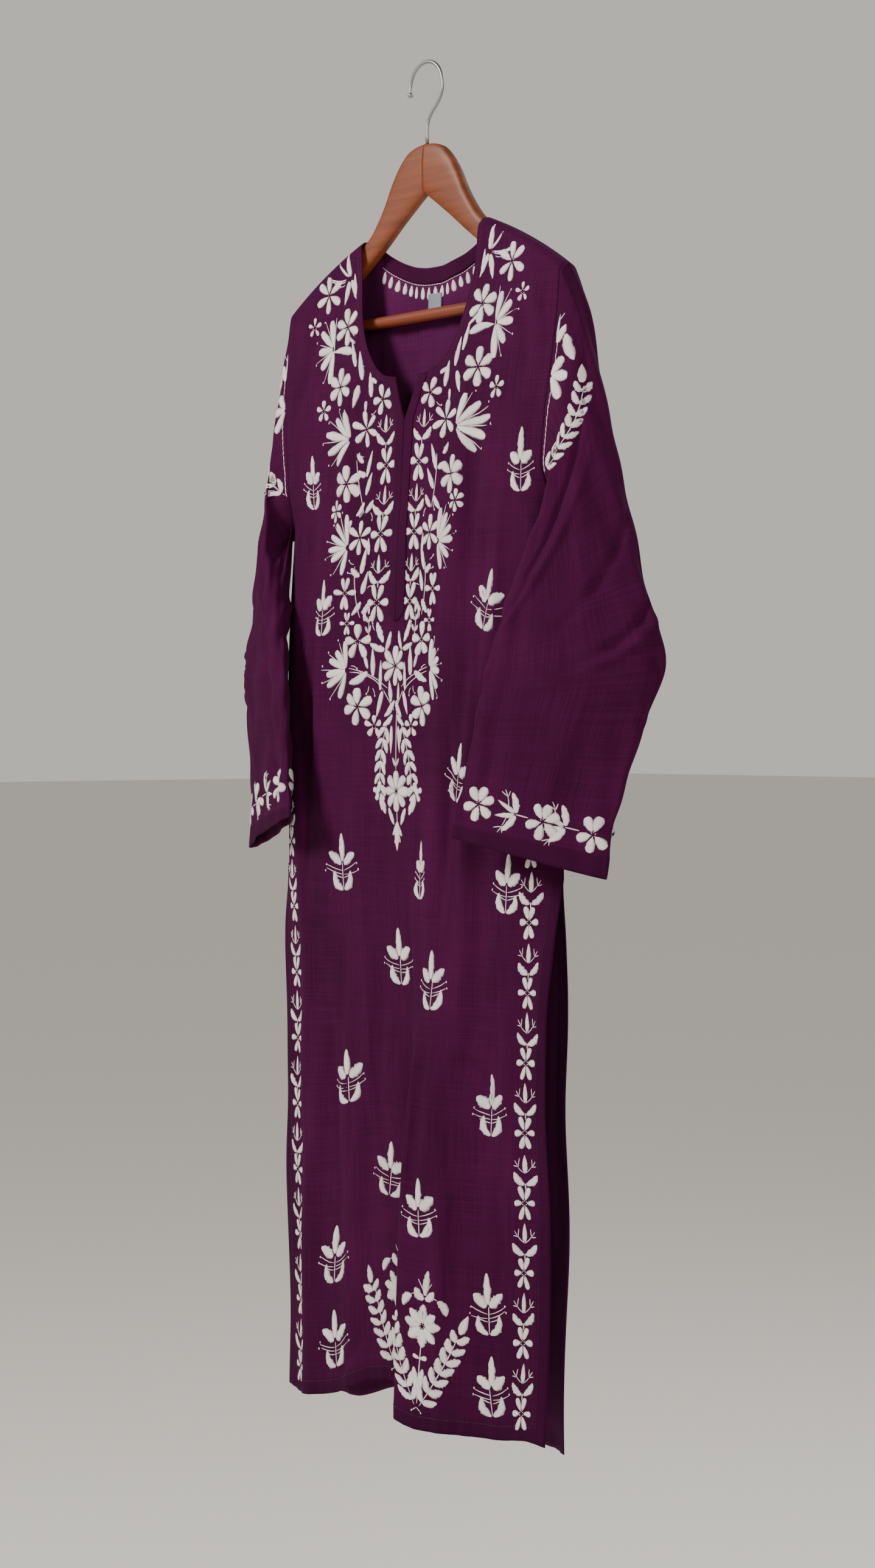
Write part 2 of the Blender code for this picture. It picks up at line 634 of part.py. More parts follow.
def swept_tube(name, path, radii, sides):
    """Tube along a path in the plane Y = const, with flat ends."""
    tangent = np.gradient(path, axis=0)
    tangent = tangent / np.linalg.norm(tangent, axis=1, keepdims=True)
    side_way = np.array([0.0, 1.0, 0.0])
    across = np.cross(tangent, side_way)
    angles = np.linspace(0.0, 2 * math.pi, sides, endpoint=False)
    ring = (
        path[:, None]
        + radii[:, None, None] * np.cos(angles)[None, :, None] * across[:, None]
        + radii[:, None, None] * np.sin(angles)[None, :, None] * side_way
    )
    points = ring.reshape(-1, 3)
    faces = [
        (
            i * sides + j,
            i * sides + (j + 1) % sides,
            (i + 1) * sides + (j + 1) % sides,
            (i + 1) * sides + j,
        )
        for i in range(len(path) - 1)
        for j in range(sides)
    ]
    faces.append(tuple(range(sides)))
    faces.append(tuple((len(path) - 1) * sides + j for j in range(sides)))
    mesh = bpy.data.meshes.new(name)
    mesh.from_pydata(points.tolist(), [], faces)
    return finish_object(name, mesh)


def hook_path():
    """Wire centreline: stem, a bend out to the arch, the arch over the rail, then the tip."""
    centre_z = WIRE_RADIUS - HOOK_RADIUS
    turn = np.radians(np.linspace(-22.0, 186.0, 22))
    arch = np.stack(
        [
            HOOK_OFFSET + HOOK_RADIUS * np.cos(turn),
            np.zeros_like(turn),
            centre_z + HOOK_RADIUS * np.sin(turn),
        ],
        axis=1,
    )
    start = np.array([0.0, 0.0, STEM_BEND])
    end = arch[0]
    back = np.array([-math.sin(turn[0]), 0.0, math.cos(turn[0])])
    handle = 0.017
    t = np.linspace(0.0, 1.0, 9)[:-1, None]
    bend = (
        (1 - t) ** 3 * start
        + 3 * t * (1 - t) ** 2 * (start + np.array([0.0, 0.0, handle]))
        + 3 * t * t * (1 - t) * (end - handle * back)
        + t**3 * end
    )
    stem = np.array([[0.0, 0.0, STEM_END], [0.0, 0.0, -0.5 * (0.0785 - STEM_BEND)]])
    return np.concatenate([stem, bend, arch])


def make_hook(material):
    """Wire hook with a small ball at its tip."""
    path = hook_path()
    radii = np.full(len(path), WIRE_RADIUS)
    way = path[-1] - path[-2]
    way = way / np.linalg.norm(way)
    steps = np.array([-0.8, -0.3, 0.3, 0.8, 0.97])
    ball = path[-1] + TIP_BALL * (steps[:, None] + 0.9) * way
    ball_radii = TIP_BALL * np.sqrt(1 - steps**2)
    path = np.concatenate([path, ball])
    radii = np.concatenate([radii, ball_radii])
    return paint(swept_tube("hook", path, radii, 10), material)


def make_bar(material):
    """Round bar between the hanger's arms."""
    half = BAR_HALF_LENGTH
    path = leaned([[x, 0.0, BAR_LEVEL] for x in (-half, 0.0, half)])
    bar = swept_tube("bar", path, np.full(3, BAR_RADIUS), 16)
    return paint(bar, material)


def make_hanger(wood, bar_wood, steel):
    """Two wood arms with a mortise for the bar and a bore for the hook's stem."""
    stem_bore = make_cutter(
        "stem_bore",
        (0.0, 0.0, STEM_END - MORTISE_CLEARANCE),
        (0.0, 0.0, -0.060),
        WIRE_RADIUS + MORTISE_CLEARANCE,
    )
    for name, side in (("hanger_arm_left", 1), ("hanger_arm_right", -1)):
        arm = make_arm(name, side, wood)
        mortise_end = BAR_HALF_LENGTH + MORTISE_CLEARANCE
        ends = leaned([[side * x, 0.0, BAR_LEVEL] for x in (MORTISE_START, mortise_end)])
        mortise = make_cutter("mortise_" + name, *ends, BAR_RADIUS + MORTISE_CLEARANCE)
        cut(arm, stem_bore)
        cut(arm, mortise)
    make_bar(bar_wood)
    make_hook(steel)


def main():
    """Clears the scene and models the tunic and its hanger."""
    for thing in list(bpy.data.objects):
        bpy.data.objects.remove(thing)
    cloth = make_material("plum_cloth", (0.075, 0.012, 0.060), 0.85)
    band = make_material("plum_band", (0.090, 0.014, 0.070), 0.85)
    label = make_material("label_weave", (0.42, 0.44, 0.50), 0.8)
    wood = make_material("varnished_wood", (0.28, 0.085, 0.028), 0.35)
    bar_wood = make_material("bar_wood", (0.33, 0.085, 0.025), 0.4)
    steel = make_material("brushed_steel", (0.62, 0.62, 0.62), 0.3, metallic=1.0)
    make_front(cloth)
    make_back(cloth)
    make_sleeve("sleeve_left", 1, cloth)
    make_sleeve("sleeve_right", -1, cloth)
    make_placket("placket_left", 1, band)
    make_placket("placket_right", -1, band)
    make_facing(band)
    make_label(label)
    make_hanger(wood, bar_wood, steel)


main()
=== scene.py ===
"""Looks of a plum cotton kurta with white hand embroidery, hung on a wooden hanger.

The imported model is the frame, in metres: +Z is up, the front faces -Y, +X is the garment's left
and the origin is under the hook's arch. "level" is a height in that frame, and "u" a distance on
the flat cloth from its centre line. Each cloth piece is worked out on the same surface as its
solid, on a finer grid, with its creases and hems. The embroidery is drawn in flat motifs and
then laid on those surfaces, one raised patch for each filled petal, leaf, stem and knot.
"""

import logging
import math
from dataclasses import dataclass, field
from enum import Enum
from typing import Callable, NamedTuple, Sequence

import bpy
import numpy as np
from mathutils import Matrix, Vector


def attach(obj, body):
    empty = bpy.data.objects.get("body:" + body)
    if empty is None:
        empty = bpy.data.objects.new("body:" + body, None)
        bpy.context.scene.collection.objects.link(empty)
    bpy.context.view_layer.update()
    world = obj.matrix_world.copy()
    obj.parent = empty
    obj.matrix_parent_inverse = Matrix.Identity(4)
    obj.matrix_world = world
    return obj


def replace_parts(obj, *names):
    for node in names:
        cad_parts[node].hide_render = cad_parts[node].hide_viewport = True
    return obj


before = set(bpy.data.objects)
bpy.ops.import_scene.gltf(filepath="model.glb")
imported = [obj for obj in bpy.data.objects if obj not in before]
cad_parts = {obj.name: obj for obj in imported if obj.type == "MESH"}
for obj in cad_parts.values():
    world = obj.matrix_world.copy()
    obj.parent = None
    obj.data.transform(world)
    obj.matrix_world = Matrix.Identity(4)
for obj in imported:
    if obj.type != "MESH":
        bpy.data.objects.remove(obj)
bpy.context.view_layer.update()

LOG = logging.getLogger("kurta")
BODY = "root"
Array = np.ndarray
Colour = tuple[float, float, float]


def table_of(row: Callable[..., tuple], values: Sequence[Sequence[float]]) -> tuple[tuple, ...]:
    """Rows with named columns, from plain rows in the order of those columns."""
    return tuple(row(*each) for each in values)


class Section(NamedTuple):
    """One level of the body: flat half width, hanging half span, shift and the faces' depths."""

    level: float
    half_width: float
    half_span: float
    shift: float
    front_middle: float
    front_side: float
    back_middle: float
    back_side: float


SECTIONS = table_of(Section, (
    (-0.110, 0.199, 0.1990, 0.0000, -0.0110, -0.0110, 0.0110, 0.0110),
    (-0.200, 0.199, 0.1990, 0.0000, -0.0118, -0.0110, 0.0112, 0.0110),
    (-0.250, 0.200, 0.1985, 0.0000, -0.0180, -0.0130, 0.0115, 0.0110),
    (-0.310, 0.201, 0.1965, 0.0000, -0.0255, -0.0195, 0.0120, 0.0108),
    (-0.360, 0.198, 0.1910, 0.0000, -0.0290, -0.0235, 0.0122, 0.0105),
    (-0.400, 0.197, 0.1870, 0.0000, -0.0315, -0.0235, 0.0126, 0.0098),
    (-0.430, 0.204, 0.1905, 0.0000, -0.0330, -0.0160, 0.0130, 0.0060),
    (-0.455, 0.214, 0.1975, -0.001, -0.0342, -0.0055, 0.0134, -0.0033),
    (-0.600, 0.217, 0.2010, -0.004, -0.0365, -0.0055, 0.0150, -0.0033),
    (-0.790, 0.216, 0.2015, -0.0026, -0.0345, -0.0085, 0.0170, -0.0060),
    (-0.850, 0.212, 0.1975, 0.0005, -0.0340, -0.0180, 0.0176, -0.0010),
    (-0.920, 0.206, 0.1915, 0.0035, -0.0340, -0.0245, 0.0182, 0.0020),
    (-1.000, 0.204, 0.1900, 0.0008, -0.0336, -0.0220, 0.0186, 0.0024),
    (-1.100, 0.207, 0.1945, 0.0005, -0.0332, -0.0190, 0.0192, 0.0026),
    (-1.220, 0.205, 0.1912, -0.0010, -0.0328, -0.0155, 0.0200, 0.0028),
    (-1.330, 0.204, 0.1895, 0.0015, -0.0325, -0.0220, 0.0205, 0.0030),
))


class Fold(NamedTuple):
    """A ridge or trough down a panel, with its drift, its width each side and its height."""

    top: float
    full: float
    u_top: float
    u_hem: float
    left: float
    right: float
    height: float
    rounding: float


FRONT_FOLDS = table_of(Fold, (
    (-0.690, -1.120, 0.062, 0.040, 0.044, 0.145, 0.0350, 0.16),
    (-0.780, -1.050, 0.112, 0.114, 0.032, 0.036, -0.0050, 0.35),
    (-0.640, -0.900, -0.158, -0.156, 0.024, 0.040, 0.0060, 0.35),
    (-0.700, -1.000, -0.078, -0.088, 0.026, 0.030, 0.0035, 0.35),
    (-0.360, -0.480, 0.150, 0.140, 0.030, 0.034, -0.0045, 0.35),
    (-0.340, -0.480, -0.150, -0.140, 0.030, 0.034, -0.0040, 0.35),
))
BACK_FOLDS = table_of(Fold, (
    (-0.480, -0.900, -0.030, -0.046, 0.060, 0.090, 0.0150, 0.35),
    (-0.520, -0.950, 0.095, 0.108, 0.055, 0.050, 0.0110, 0.35),
    (-0.560, -0.950, 0.035, 0.036, 0.030, 0.032, -0.0060, 0.35),
    (-0.600, -1.000, -0.130, -0.132, 0.034, 0.034, -0.0050, 0.35),
))


class Lift(NamedTuple):
    """A place across a panel where its hem is drawn up (or hangs lower)."""

    u: float
    left: float
    right: float
    rise: float


FRONT_LIFTS = table_of(Lift, (
    (-0.036, 0.105, 0.105, 0.0300),
    (-0.172, 0.050, 0.050, -0.0050),
    (0.183, 0.035, 0.030, 0.0040),
))
BACK_LIFTS = (Lift(-0.070, 0.070, 0.060, 0.0180), Lift(0.015, 0.060, 0.080, -0.0060))


class Crease(NamedTuple):
    """A soft trough (negative) or ridge between two places on the flat cloth."""

    u_start: float
    start: float
    u_end: float
    end: float
    width: float
    height: float


class SleeveSection(NamedTuple):
    """A ring of the flattened left sleeve: its two folds, how far it swells and how it turns."""

    along: float
    outer_x: float
    outer_y: float
    outer_z: float
    inner_x: float
    inner_y: float
    inner_z: float
    front: float
    back: float
    turn: float
    right_in: float
    right_up: float


SLEEVE = table_of(SleeveSection, (
    (0.00, 0.2010, 0.0000, -0.2220, 0.1940, -0.0045, -0.4560, 0.018, 0.012, 0, 0.0, 0.0),
    (0.08, 0.2165, 0.0035, -0.2580, 0.2045, -0.0130, -0.4580, 0.019, 0.013, 7, 0.004, 0.0),
    (0.20, 0.2385, 0.0085, -0.3450, 0.1880, -0.0370, -0.4840, 0.020, 0.013, 14, 0.011, 0.0),
    (0.35, 0.2600, 0.0125, -0.4300, 0.1710, -0.0490, -0.5260, 0.020, 0.012, 21, 0.011, 0.0),
    (0.50, 0.2830, 0.0155, -0.5150, 0.1580, -0.0555, -0.5690, 0.019, 0.010, 26, 0.007, 0.0),
    (0.635, 0.3045, 0.0180, -0.5860, 0.1465, -0.0605, -0.6080, 0.017, 0.009, 27, 0.004, 0.0),
    (0.74, 0.2890, 0.0075, -0.6480, 0.1400, -0.0645, -0.6480, 0.014, 0.009, 26, 0.003, 0.001),
    (0.84, 0.2745, -0.0020, -0.7020, 0.1325, -0.0690, -0.6920, 0.011, 0.009, 25, 0.001, 0.005),
    (0.93, 0.2645, -0.0085, -0.7450, 0.1250, -0.0730, -0.7240, 0.009, 0.008, 24, 0.0, 0.009),
    (1.00, 0.2610, -0.0140, -0.7840, 0.1180, -0.0752, -0.7475, 0.009, 0.008, 24, 0.0, 0.013),
))


def smooth_column(table: Sequence[NamedTuple], name: str, at: Array) -> Array:
    """Reads one column of a table as a smooth curve over its first column.

    Formula: cubic Hermite pieces whose slope at a row is the harmonic mean of its neighbours'.

    Args:
        table: The rows, each with its place first.
        name: The column's name.
        at: The places to read at.

    Returns:
        The curve's values, held at its ends.
    """
    rows = sorted(table)
    places = np.array([row[0] for row in rows], float)
    values = np.array([getattr(row, name) for row in rows], float)
    step = np.diff(values) / np.diff(places)
    slopes = np.empty(len(rows))
    slopes[0], slopes[-1] = step[0], step[-1]
    total = np.where(step[:-1] + step[1:] == 0, 1.0, step[:-1] + step[1:])
    product = step[:-1] * step[1:]
    slopes[1:-1] = np.where(product > 0, 2 * product / total, 0.0)
    at = np.clip(np.asarray(at, float), places[0], places[-1])
    i = np.clip(np.searchsorted(places, at, side="right") - 1, 0, len(rows) - 2)
    width = places[i + 1] - places[i]
    t = (at - places[i]) / width
    start = (1 + 2 * t) * (1 - t) ** 2 * values[i] + t * (1 - t) ** 2 * width * slopes[i]
    return start + t * t * (3 - 2 * t) * values[i + 1] - t * t * (1 - t) * width * slopes[i + 1]


def smooth_step(t: Array) -> Array:
    """Rises softly from 0 to 1 as t goes from 0 to 1: 3t^2 - 2t^3."""
    t = np.clip(t, 0.0, 1.0)
    return t * t * (3 - 2 * t)


def rounded_ramp(t: Array, rounding: float) -> Array:
    """Rises from 0 to 1 as t does, straight but for a parabola at each end."""
    t = np.clip(t, 0.0, 1.0)
    scale = 2 * rounding * (1 - rounding)
    middle = (t - rounding / 2) / (1 - rounding)
    late = np.where(t > 1 - rounding, 1 - (1 - t) ** 2 / scale, middle)
    return np.where(t < rounding, t * t / scale, late)


def unit(vectors: Array) -> Array:
    """The vectors at length one; the shortest ones stay finite."""
    return vectors / np.maximum(np.linalg.norm(vectors, axis=-1, keepdims=True), 1e-12)


@dataclass(frozen=True)
class Cut:
    """Sizes of the garment's cut and of how it hangs, as in its solids."""

    neck_half: float = 0.0895
    shoulder_top: float = -0.1620
    shoulder_slope: float = 0.371
    shoulder_curve: float = 1.36
    shoulder_tip: float = 0.1990
    underarm: float = -0.455
    slit_top: float = -0.790
    hem: float = -1.3105
    back_hem: float = -1.320
    over_hanger_drop: float = 0.010
    lean: float = 0.010
    lean_full: float = -0.260
    lean_gone: float = -0.620
    side_roll: float = 0.042
    back_neck: float = -0.197
    back_neck_power: float = 2.1
    slit_half: float = 0.018
    slit_level: float = -0.3055
    slit_point: float = -0.3486
    placket_point: float = -0.5430
    seam_gap: float = 0.0004
    lift_start: float = -0.740
    lift_depth: float = 0.560
    cloth: float = 0.0008
    hem_depth: float = 0.014
    vent_depth: float = 0.012

    def shoulder_level(self, u: Array) -> Array:
        """Level of the shoulder seam: a slope that steepens outwards from the neck."""
        out = np.maximum(np.abs(u), self.neck_half) - self.neck_half
        return self.shoulder_top - self.shoulder_slope * out - self.shoulder_curve * out**2

    def leaned(self, points: Array) -> Array:
        """The points with the small tilt of the hanger, which fades down the cloth."""
        fade = smooth_step((points[..., 2] - self.lean_gone) / (self.lean_full - self.lean_gone))
        tilted = points.copy()
        tilted[..., 2] += self.lean * points[..., 0] * fade
        return tilted


CUT = Cut()


class NeckPoint(NamedTuple):
    """A point of the front neckline's right half."""

    u: float
    level: float


NECKLINE = table_of(NeckPoint, (
    (0.0000, -0.3486),
    (0.0180, -0.3055),
    (0.0340, -0.3025),
    (0.0500, -0.2935),
    (0.0620, -0.2790),
    (0.0710, -0.2600),
    (0.0780, -0.2370),
    (0.0830, -0.2100),
    (0.0860, -0.1750),
    (0.0873, -0.1692),
    (0.0886, -0.1642),
    (0.0895, -0.1620),
))


def front_neckline(u: Array) -> Array:
    """Level of the front's top edge: straight slit, round neck, then the shoulder seam."""
    away = np.abs(u)
    slit = np.interp(away, [0.0, CUT.slit_half], [CUT.slit_point, CUT.slit_level])
    curve = smooth_column(NECKLINE[1:], "level", away)
    inside = np.where(away < CUT.slit_half, slit, curve)
    return np.where(away <= CUT.neck_half, inside, CUT.shoulder_level(u))


def back_neckline(u: Array) -> Array:
    """Level of the back's top edge: a scoop of power 2.1, then the shoulder seam."""
    share = (np.abs(u) / CUT.neck_half) ** CUT.back_neck_power
    scoop = CUT.back_neck + (CUT.shoulder_top - CUT.back_neck) * share
    return np.where(np.abs(u) <= CUT.neck_half, scoop, CUT.shoulder_level(u))


@dataclass
class Drape:
    """A hanging sheet: its places and outward normals over a regular grid of its flat cut."""

    u_start: float
    level_start: float
    step: float
    points: Array
    normals: Array

    def read(self, table: Array, u: Array, level: Array) -> Array:
        """Reads a table between its nodes, linear in both directions."""
        column = np.clip((u - self.u_start) / self.step, 0, table.shape[1] - 1.001)
        row = np.clip((self.level_start - level) / self.step, 0, table.shape[0] - 1.001)
        i, j = row.astype(int), column.astype(int)
        a, b = (row - i)[..., None], (column - j)[..., None]
        upper = table[i, j] * (1 - b) + table[i, j + 1] * b
        return upper * (1 - a) + (table[i + 1, j] * (1 - b) + table[i + 1, j + 1] * b) * a

    def place(self, u: Array, level: Array, lift: Array | float = 0.0) -> Array:
        """Places of flat points on the sheet, moved outwards by lift.

        In the last drop below the shoulder seam the cloth turns over the hanger by a quarter
        ellipse: the depth shrinks by sin(a) and the normal tips up by a, where cos(a) is the
        share of that drop that is left.

        Args:
            u: Flat places across.
            level: Flat levels.
            lift: How far out from the surface.

        Returns:
            The points in the frame.
        """
        u, level = np.broadcast_arrays(np.asarray(u, float), np.asarray(level, float))
        base = self.read(self.points, u, level)
        out = unit(self.read(self.normals, u, level))
        below = (CUT.shoulder_level(u) - level) / CUT.over_hanger_drop
        rise = 1 - np.clip(below, 0.0, 1.0)
        sine = np.sqrt(1 - rise**2)
        across = out * (sine / np.maximum(np.abs(base[..., 1]), 0.001))[..., None]
        upward = np.array([0.0, 0.0, 1.0]) * (rise / CUT.over_hanger_drop)[..., None]
        base[..., 1] *= sine
        return base + unit(across + upward) * (np.asarray(lift) + 0 * u)[..., None]


@dataclass
class FaceDrape:
    """One face of a sleeve, seen square on: r runs across that view and z is the level.

    A flat point is put on the face by the tangent plane of the nearest grid node.
    """

    points: Array
    normals: Array
    way: Array
    chunks: int = 24
    steepest: float = 0.15
    least_facing: float = 0.25
    edge_reach: float = 0.0045

    def __post_init__(self) -> None:
        """Works out each node's place in the view and its two tangents."""
        self.across = unit(np.cross(self.way, np.array([0.0, 0.0, 1.0])))
        self.nodes = self.points.reshape(-1, 3)
        self.flat = np.stack([self.nodes @ self.across, self.nodes[:, 2]], axis=1)

    def place(self, r: Array, z: Array, lift: Array | float = 0.0) -> Array:
        """Places of view points (r, z) on the face, moved outwards by lift."""
        r, z = np.broadcast_arrays(np.asarray(r, float), np.asarray(z, float))
        query = np.stack([r.ravel(), z.ravel()], axis=1)
        near = np.concatenate([self._nearest(part) for part in np.array_split(query, self.chunks)])
        normal = self.normals.reshape(-1, 3)[near]
        off = query - self.flat[near]
        flat_off = off[:, :1] * self.across + off[:, 1:] * np.array([0.0, 0.0, 1.0])
        facing = np.sum(normal * self.way, axis=1, keepdims=True)
        facing = np.minimum(facing, -self.steepest)
        depth = -np.sum(normal * flat_off, axis=1, keepdims=True) / facing
        placed = self.nodes[near] + flat_off + depth * self.way
        return placed.reshape(*r.shape, 3) + normal.reshape(*r.shape, 3) * (
            np.asarray(lift) + 0 * r
        )[..., None]

    def covers(self, r: Array, z: Array) -> Array:
        """Whether each view point lies over the face and not past its edges."""
        query = np.stack([r.ravel(), z.ravel()], axis=1)
        near = self._nearest(query)
        off = np.linalg.norm(query - self.flat[near], axis=1)
        facing = self.normals.reshape(-1, 3)[near] @ self.way
        over = (off < self.edge_reach) & (facing < -self.least_facing)
        return over.reshape(r.shape)

    def _nearest(self, query: Array) -> Array:
        """Index of the grid node nearest to each view point."""
        gap = (query[:, None, 0] - self.flat[None, :, 0]) ** 2
        gap += (query[:, None, 1] - self.flat[None, :, 1]) ** 2
        return np.argmin(gap, axis=1)


@dataclass
class Panel:
    """The front or the back: its folds, creases and hems over the flat cut."""

    facing: int
    middle: str
    side: str
    folds: tuple[Fold, ...]
    lifts: tuple[Lift, ...]
    creases: tuple[Crease, ...]
    hem: float
    top_edge: Callable[[Array], Array]
    wave_seed: int
    step: float = 0.0025
    reach_u: float = 0.2275
    double_step: float = 0.00035
    crease_gain: float = 2.1
    crease_fade: float = 0.3
    waves: int = 14
    wave_gain: float = 0.0200
    pucker_cycles: float = 78
    pucker: float = 0.00035
    pucker_reach: float = 0.03
    seam_fade: float = 0.014
    shoulder_fade: float = 0.025

    def depth(self, u: Array, level: Array) -> Array:
        """Y of the outer face: a flat middle, a tanh roll to the sides, and the folds."""
        width = smooth_column(SECTIONS, "half_width", level)
        middle = smooth_column(SECTIONS, self.middle, level)
        side = smooth_column(SECTIONS, self.side, level)
        y = side + (middle - side) * np.tanh((width - np.abs(u)) / CUT.side_roll)
        for fold in self.folds:
            down = (fold.top - level) / (fold.top - fold.full)
            drift = np.clip((fold.top - level) / (fold.top - CUT.hem), 0.0, 1.0)
            across = u - (fold.u_top + (fold.u_hem - fold.u_top) * drift)
            reach = np.where(across < 0, fold.left, fold.right)
            shape = rounded_ramp(1 - np.abs(across) / reach, fold.rounding)
            y = y + self.facing * fold.height * smooth_step(down) * shape
        return y

    def double(self, u: Array, level: Array) -> Array:
        """1 where the cloth is doubled: bottom hem and the vent hems beside the slits."""
        width = smooth_column(SECTIONS, "half_width", level)
        bottom = smooth_step((self.hem + CUT.hem_depth + 0.0008 - level) / 0.0016)
        vent = smooth_step((np.abs(u) - width + CUT.vent_depth + 0.0008) / 0.0016)
        vent = vent * smooth_step((CUT.slit_top + 0.008 - level) / 0.004)
        return np.maximum(bottom, vent)

    def relief(self, u: Array, level: Array) -> Array:
        """Height of creases, hem steps, puckers and slow unevenness over the draped form."""
        height = self.double_step * self.double(u, level)
        for crease in self.creases:
            du, dl = crease.u_end - crease.u_start, crease.end - crease.start
            length = math.hypot(du, dl)
            t = ((u - crease.u_start) * du + (level - crease.start) * dl) / length**2
            away = ((u - crease.u_start) * dl - (level - crease.start) * du) / length
            ends = smooth_step(t / self.crease_fade) * smooth_step((1 - t) / self.crease_fade)
            height = height + self.crease_gain * crease.height * ends * np.exp(
                -((away / crease.width) ** 2)
            )
        draw = np.random.default_rng(self.wave_seed)
        for _ in range(self.waves):
            cycles, phase = draw.uniform(7, 52), draw.uniform(0, 2 * math.pi)
            tilt, size = draw.uniform(-0.16, 0.16), draw.uniform(0.3, 1.0)
            slow = np.sin(2 * math.pi * (level * draw.uniform(1.0, 3.0)) + draw.uniform(0, 6))
            wave = np.sin(2 * math.pi * cycles * (u + tilt * level) + phase)
            height = height + self.wave_gain / (cycles + 6) * size * wave * (0.5 + 0.5 * slow)
        from_hem = (level - self.hem) / self.pucker_reach
        ripple = np.sin(2 * math.pi * self.pucker_cycles * u + 3 * np.sin(23 * u))
        height = height + self.pucker * ripple * np.exp(-(from_hem**2))
        width = smooth_column(SECTIONS, "half_width", level)
        seam = smooth_step((width - np.abs(u)) / self.seam_fade)
        seam = np.where(level < CUT.slit_top, 1.0, seam)
        return height * smooth_step((CUT.shoulder_level(u) - level) / self.shoulder_fade) * seam

    def drape(self) -> Drape:
        """Hangs the flat grid: X is the arc length walked across, scaled to the hanging span.

        Returns:
            The sheet, its relief included.
        """
        u = np.arange(-self.reach_u, self.reach_u + self.step / 2, self.step)
        level = np.arange(-0.110, self.hem - 0.02, -self.step)
        across, down = np.meshgrid(u, level)
        y = self.depth(across, down)
        slope = np.clip(np.diff(y, axis=1) / self.step, -0.95, 0.95)
        walk = np.concatenate(
            [np.zeros((len(level), 1)), np.cumsum(np.sqrt(1 - slope**2) * self.step, axis=1)],
            axis=1,
        )
        sheet = Drape(u[0], level[0], self.step, walk[..., None], walk[..., None])
        width = smooth_column(SECTIONS, "half_width", level)
        centre, left, right = (
            sheet.read(walk[..., None], place, level)[..., 0] for place in (0 * width, width, -width)
        )
        span = smooth_column(SECTIONS, "half_span", level) / (0.5 * (left - right))
        middle = 0.5 * (left + right) - centre
        x = (walk - centre[:, None] - middle[:, None]) * span[:, None]
        x = x + smooth_column(SECTIONS, "shift", level)[:, None]
        lift = np.zeros_like(u)
        for row in self.lifts:
            side = np.where(u < row.u, row.left, row.right)
            lift = lift + row.rise * smooth_step(1 - np.abs(u - row.u) / side)
        hang = smooth_step((CUT.lift_start - level) / CUT.lift_depth)
        z = down + hang[:, None] * lift
        base = CUT.leaned(np.stack([x, y + self.facing * CUT.seam_gap / 2, z], axis=-1))
        base = base + self._normals(base) * self.relief(across, down)[..., None]
        return Drape(u[0], level[0], self.step, base, self._normals(base))

    def _normals(self, points: Array) -> Array:
        """Outward unit normals: the cross product of the ways across and down."""
        normal = np.cross(np.gradient(points, axis=1), np.gradient(points, axis=0))
        return unit(self.facing * normal)


FRONT_CREASES = table_of(Crease, (
    (0.150, -0.235, 0.176, -0.330, 0.006, -0.0016),
    (0.168, -0.225, 0.188, -0.300, 0.006, 0.0014),
    (0.128, -0.420, 0.112, -0.640, 0.009, -0.0022),
    (0.150, -0.400, 0.136, -0.600, 0.008, 0.0020),
    (0.108, -0.560, 0.098, -0.820, 0.008, 0.0018),
    (0.082, -0.620, 0.070, -0.860, 0.007, -0.0018),
    (0.020, -0.690, 0.030, -0.930, 0.008, 0.0014),
    (0.106, -0.330, 0.098, -0.700, 0.011, -0.0030),
    (0.128, -0.600, 0.118, -1.020, 0.011, -0.0026),
    (0.104, -0.700, 0.100, -1.000, 0.010, 0.0018),
    (0.052, -0.820, 0.060, -1.160, 0.010, -0.0018),
    (-0.150, -0.240, -0.172, -0.330, 0.006, -0.0014),
    (-0.120, -0.500, -0.140, -0.760, 0.010, 0.0020),
    (-0.165, -0.600, -0.150, -0.900, 0.009, -0.0018),
    (-0.060, -0.780, -0.048, -1.100, 0.009, 0.0016),
    (-0.120, -0.900, -0.104, -1.180, 0.008, -0.0016),
    (0.090, -0.930, 0.152, -0.972, 0.008, 0.0016),
    (0.100, -0.950, 0.150, -0.995, 0.009, -0.0018),
    (0.095, -1.060, 0.085, -1.250, 0.008, 0.0016),
    (0.150, -1.020, 0.160, -1.200, 0.008, -0.0014),
    (-0.062, -1.262, -0.118, -1.302, 0.005, -0.0014),
))
BACK_CREASES = table_of(Crease, (
    (0.000, -0.230, 0.001, -0.760, 0.004, 0.0010),
    (-0.110, -0.300, -0.060, -0.420, 0.009, 0.0018),
    (0.120, -0.300, 0.070, -0.430, 0.009, 0.0018),
    (0.150, -0.460, 0.090, -0.660, 0.009, -0.0020),
    (-0.160, -0.480, -0.110, -0.700, 0.009, -0.0020),
    (-0.020, -0.640, -0.040, -0.960, 0.010, 0.0022),
    (0.070, -0.700, 0.080, -1.040, 0.009, 0.0020),
    (0.145, -0.860, 0.130, -1.180, 0.008, -0.0018),
    (-0.100, -0.920, -0.085, -1.230, 0.010, -0.0020),
))

FRONT = Panel(
    -1, "front_middle", "front_side", FRONT_FOLDS, FRONT_LIFTS, FRONT_CREASES, CUT.hem,
    front_neckline, 11,
)
BACK = Panel(
    1, "back_middle", "back_side", BACK_FOLDS, BACK_LIFTS, BACK_CREASES, CUT.back_hem,
    back_neckline, 23,
)


def corners(mesh: bpy.types.Mesh) -> Array:
    """The vertex under each face corner of a mesh."""
    corner = np.empty(len(mesh.loops), int)
    mesh.loops.foreach_get("vertex_index", corner)
    return corner


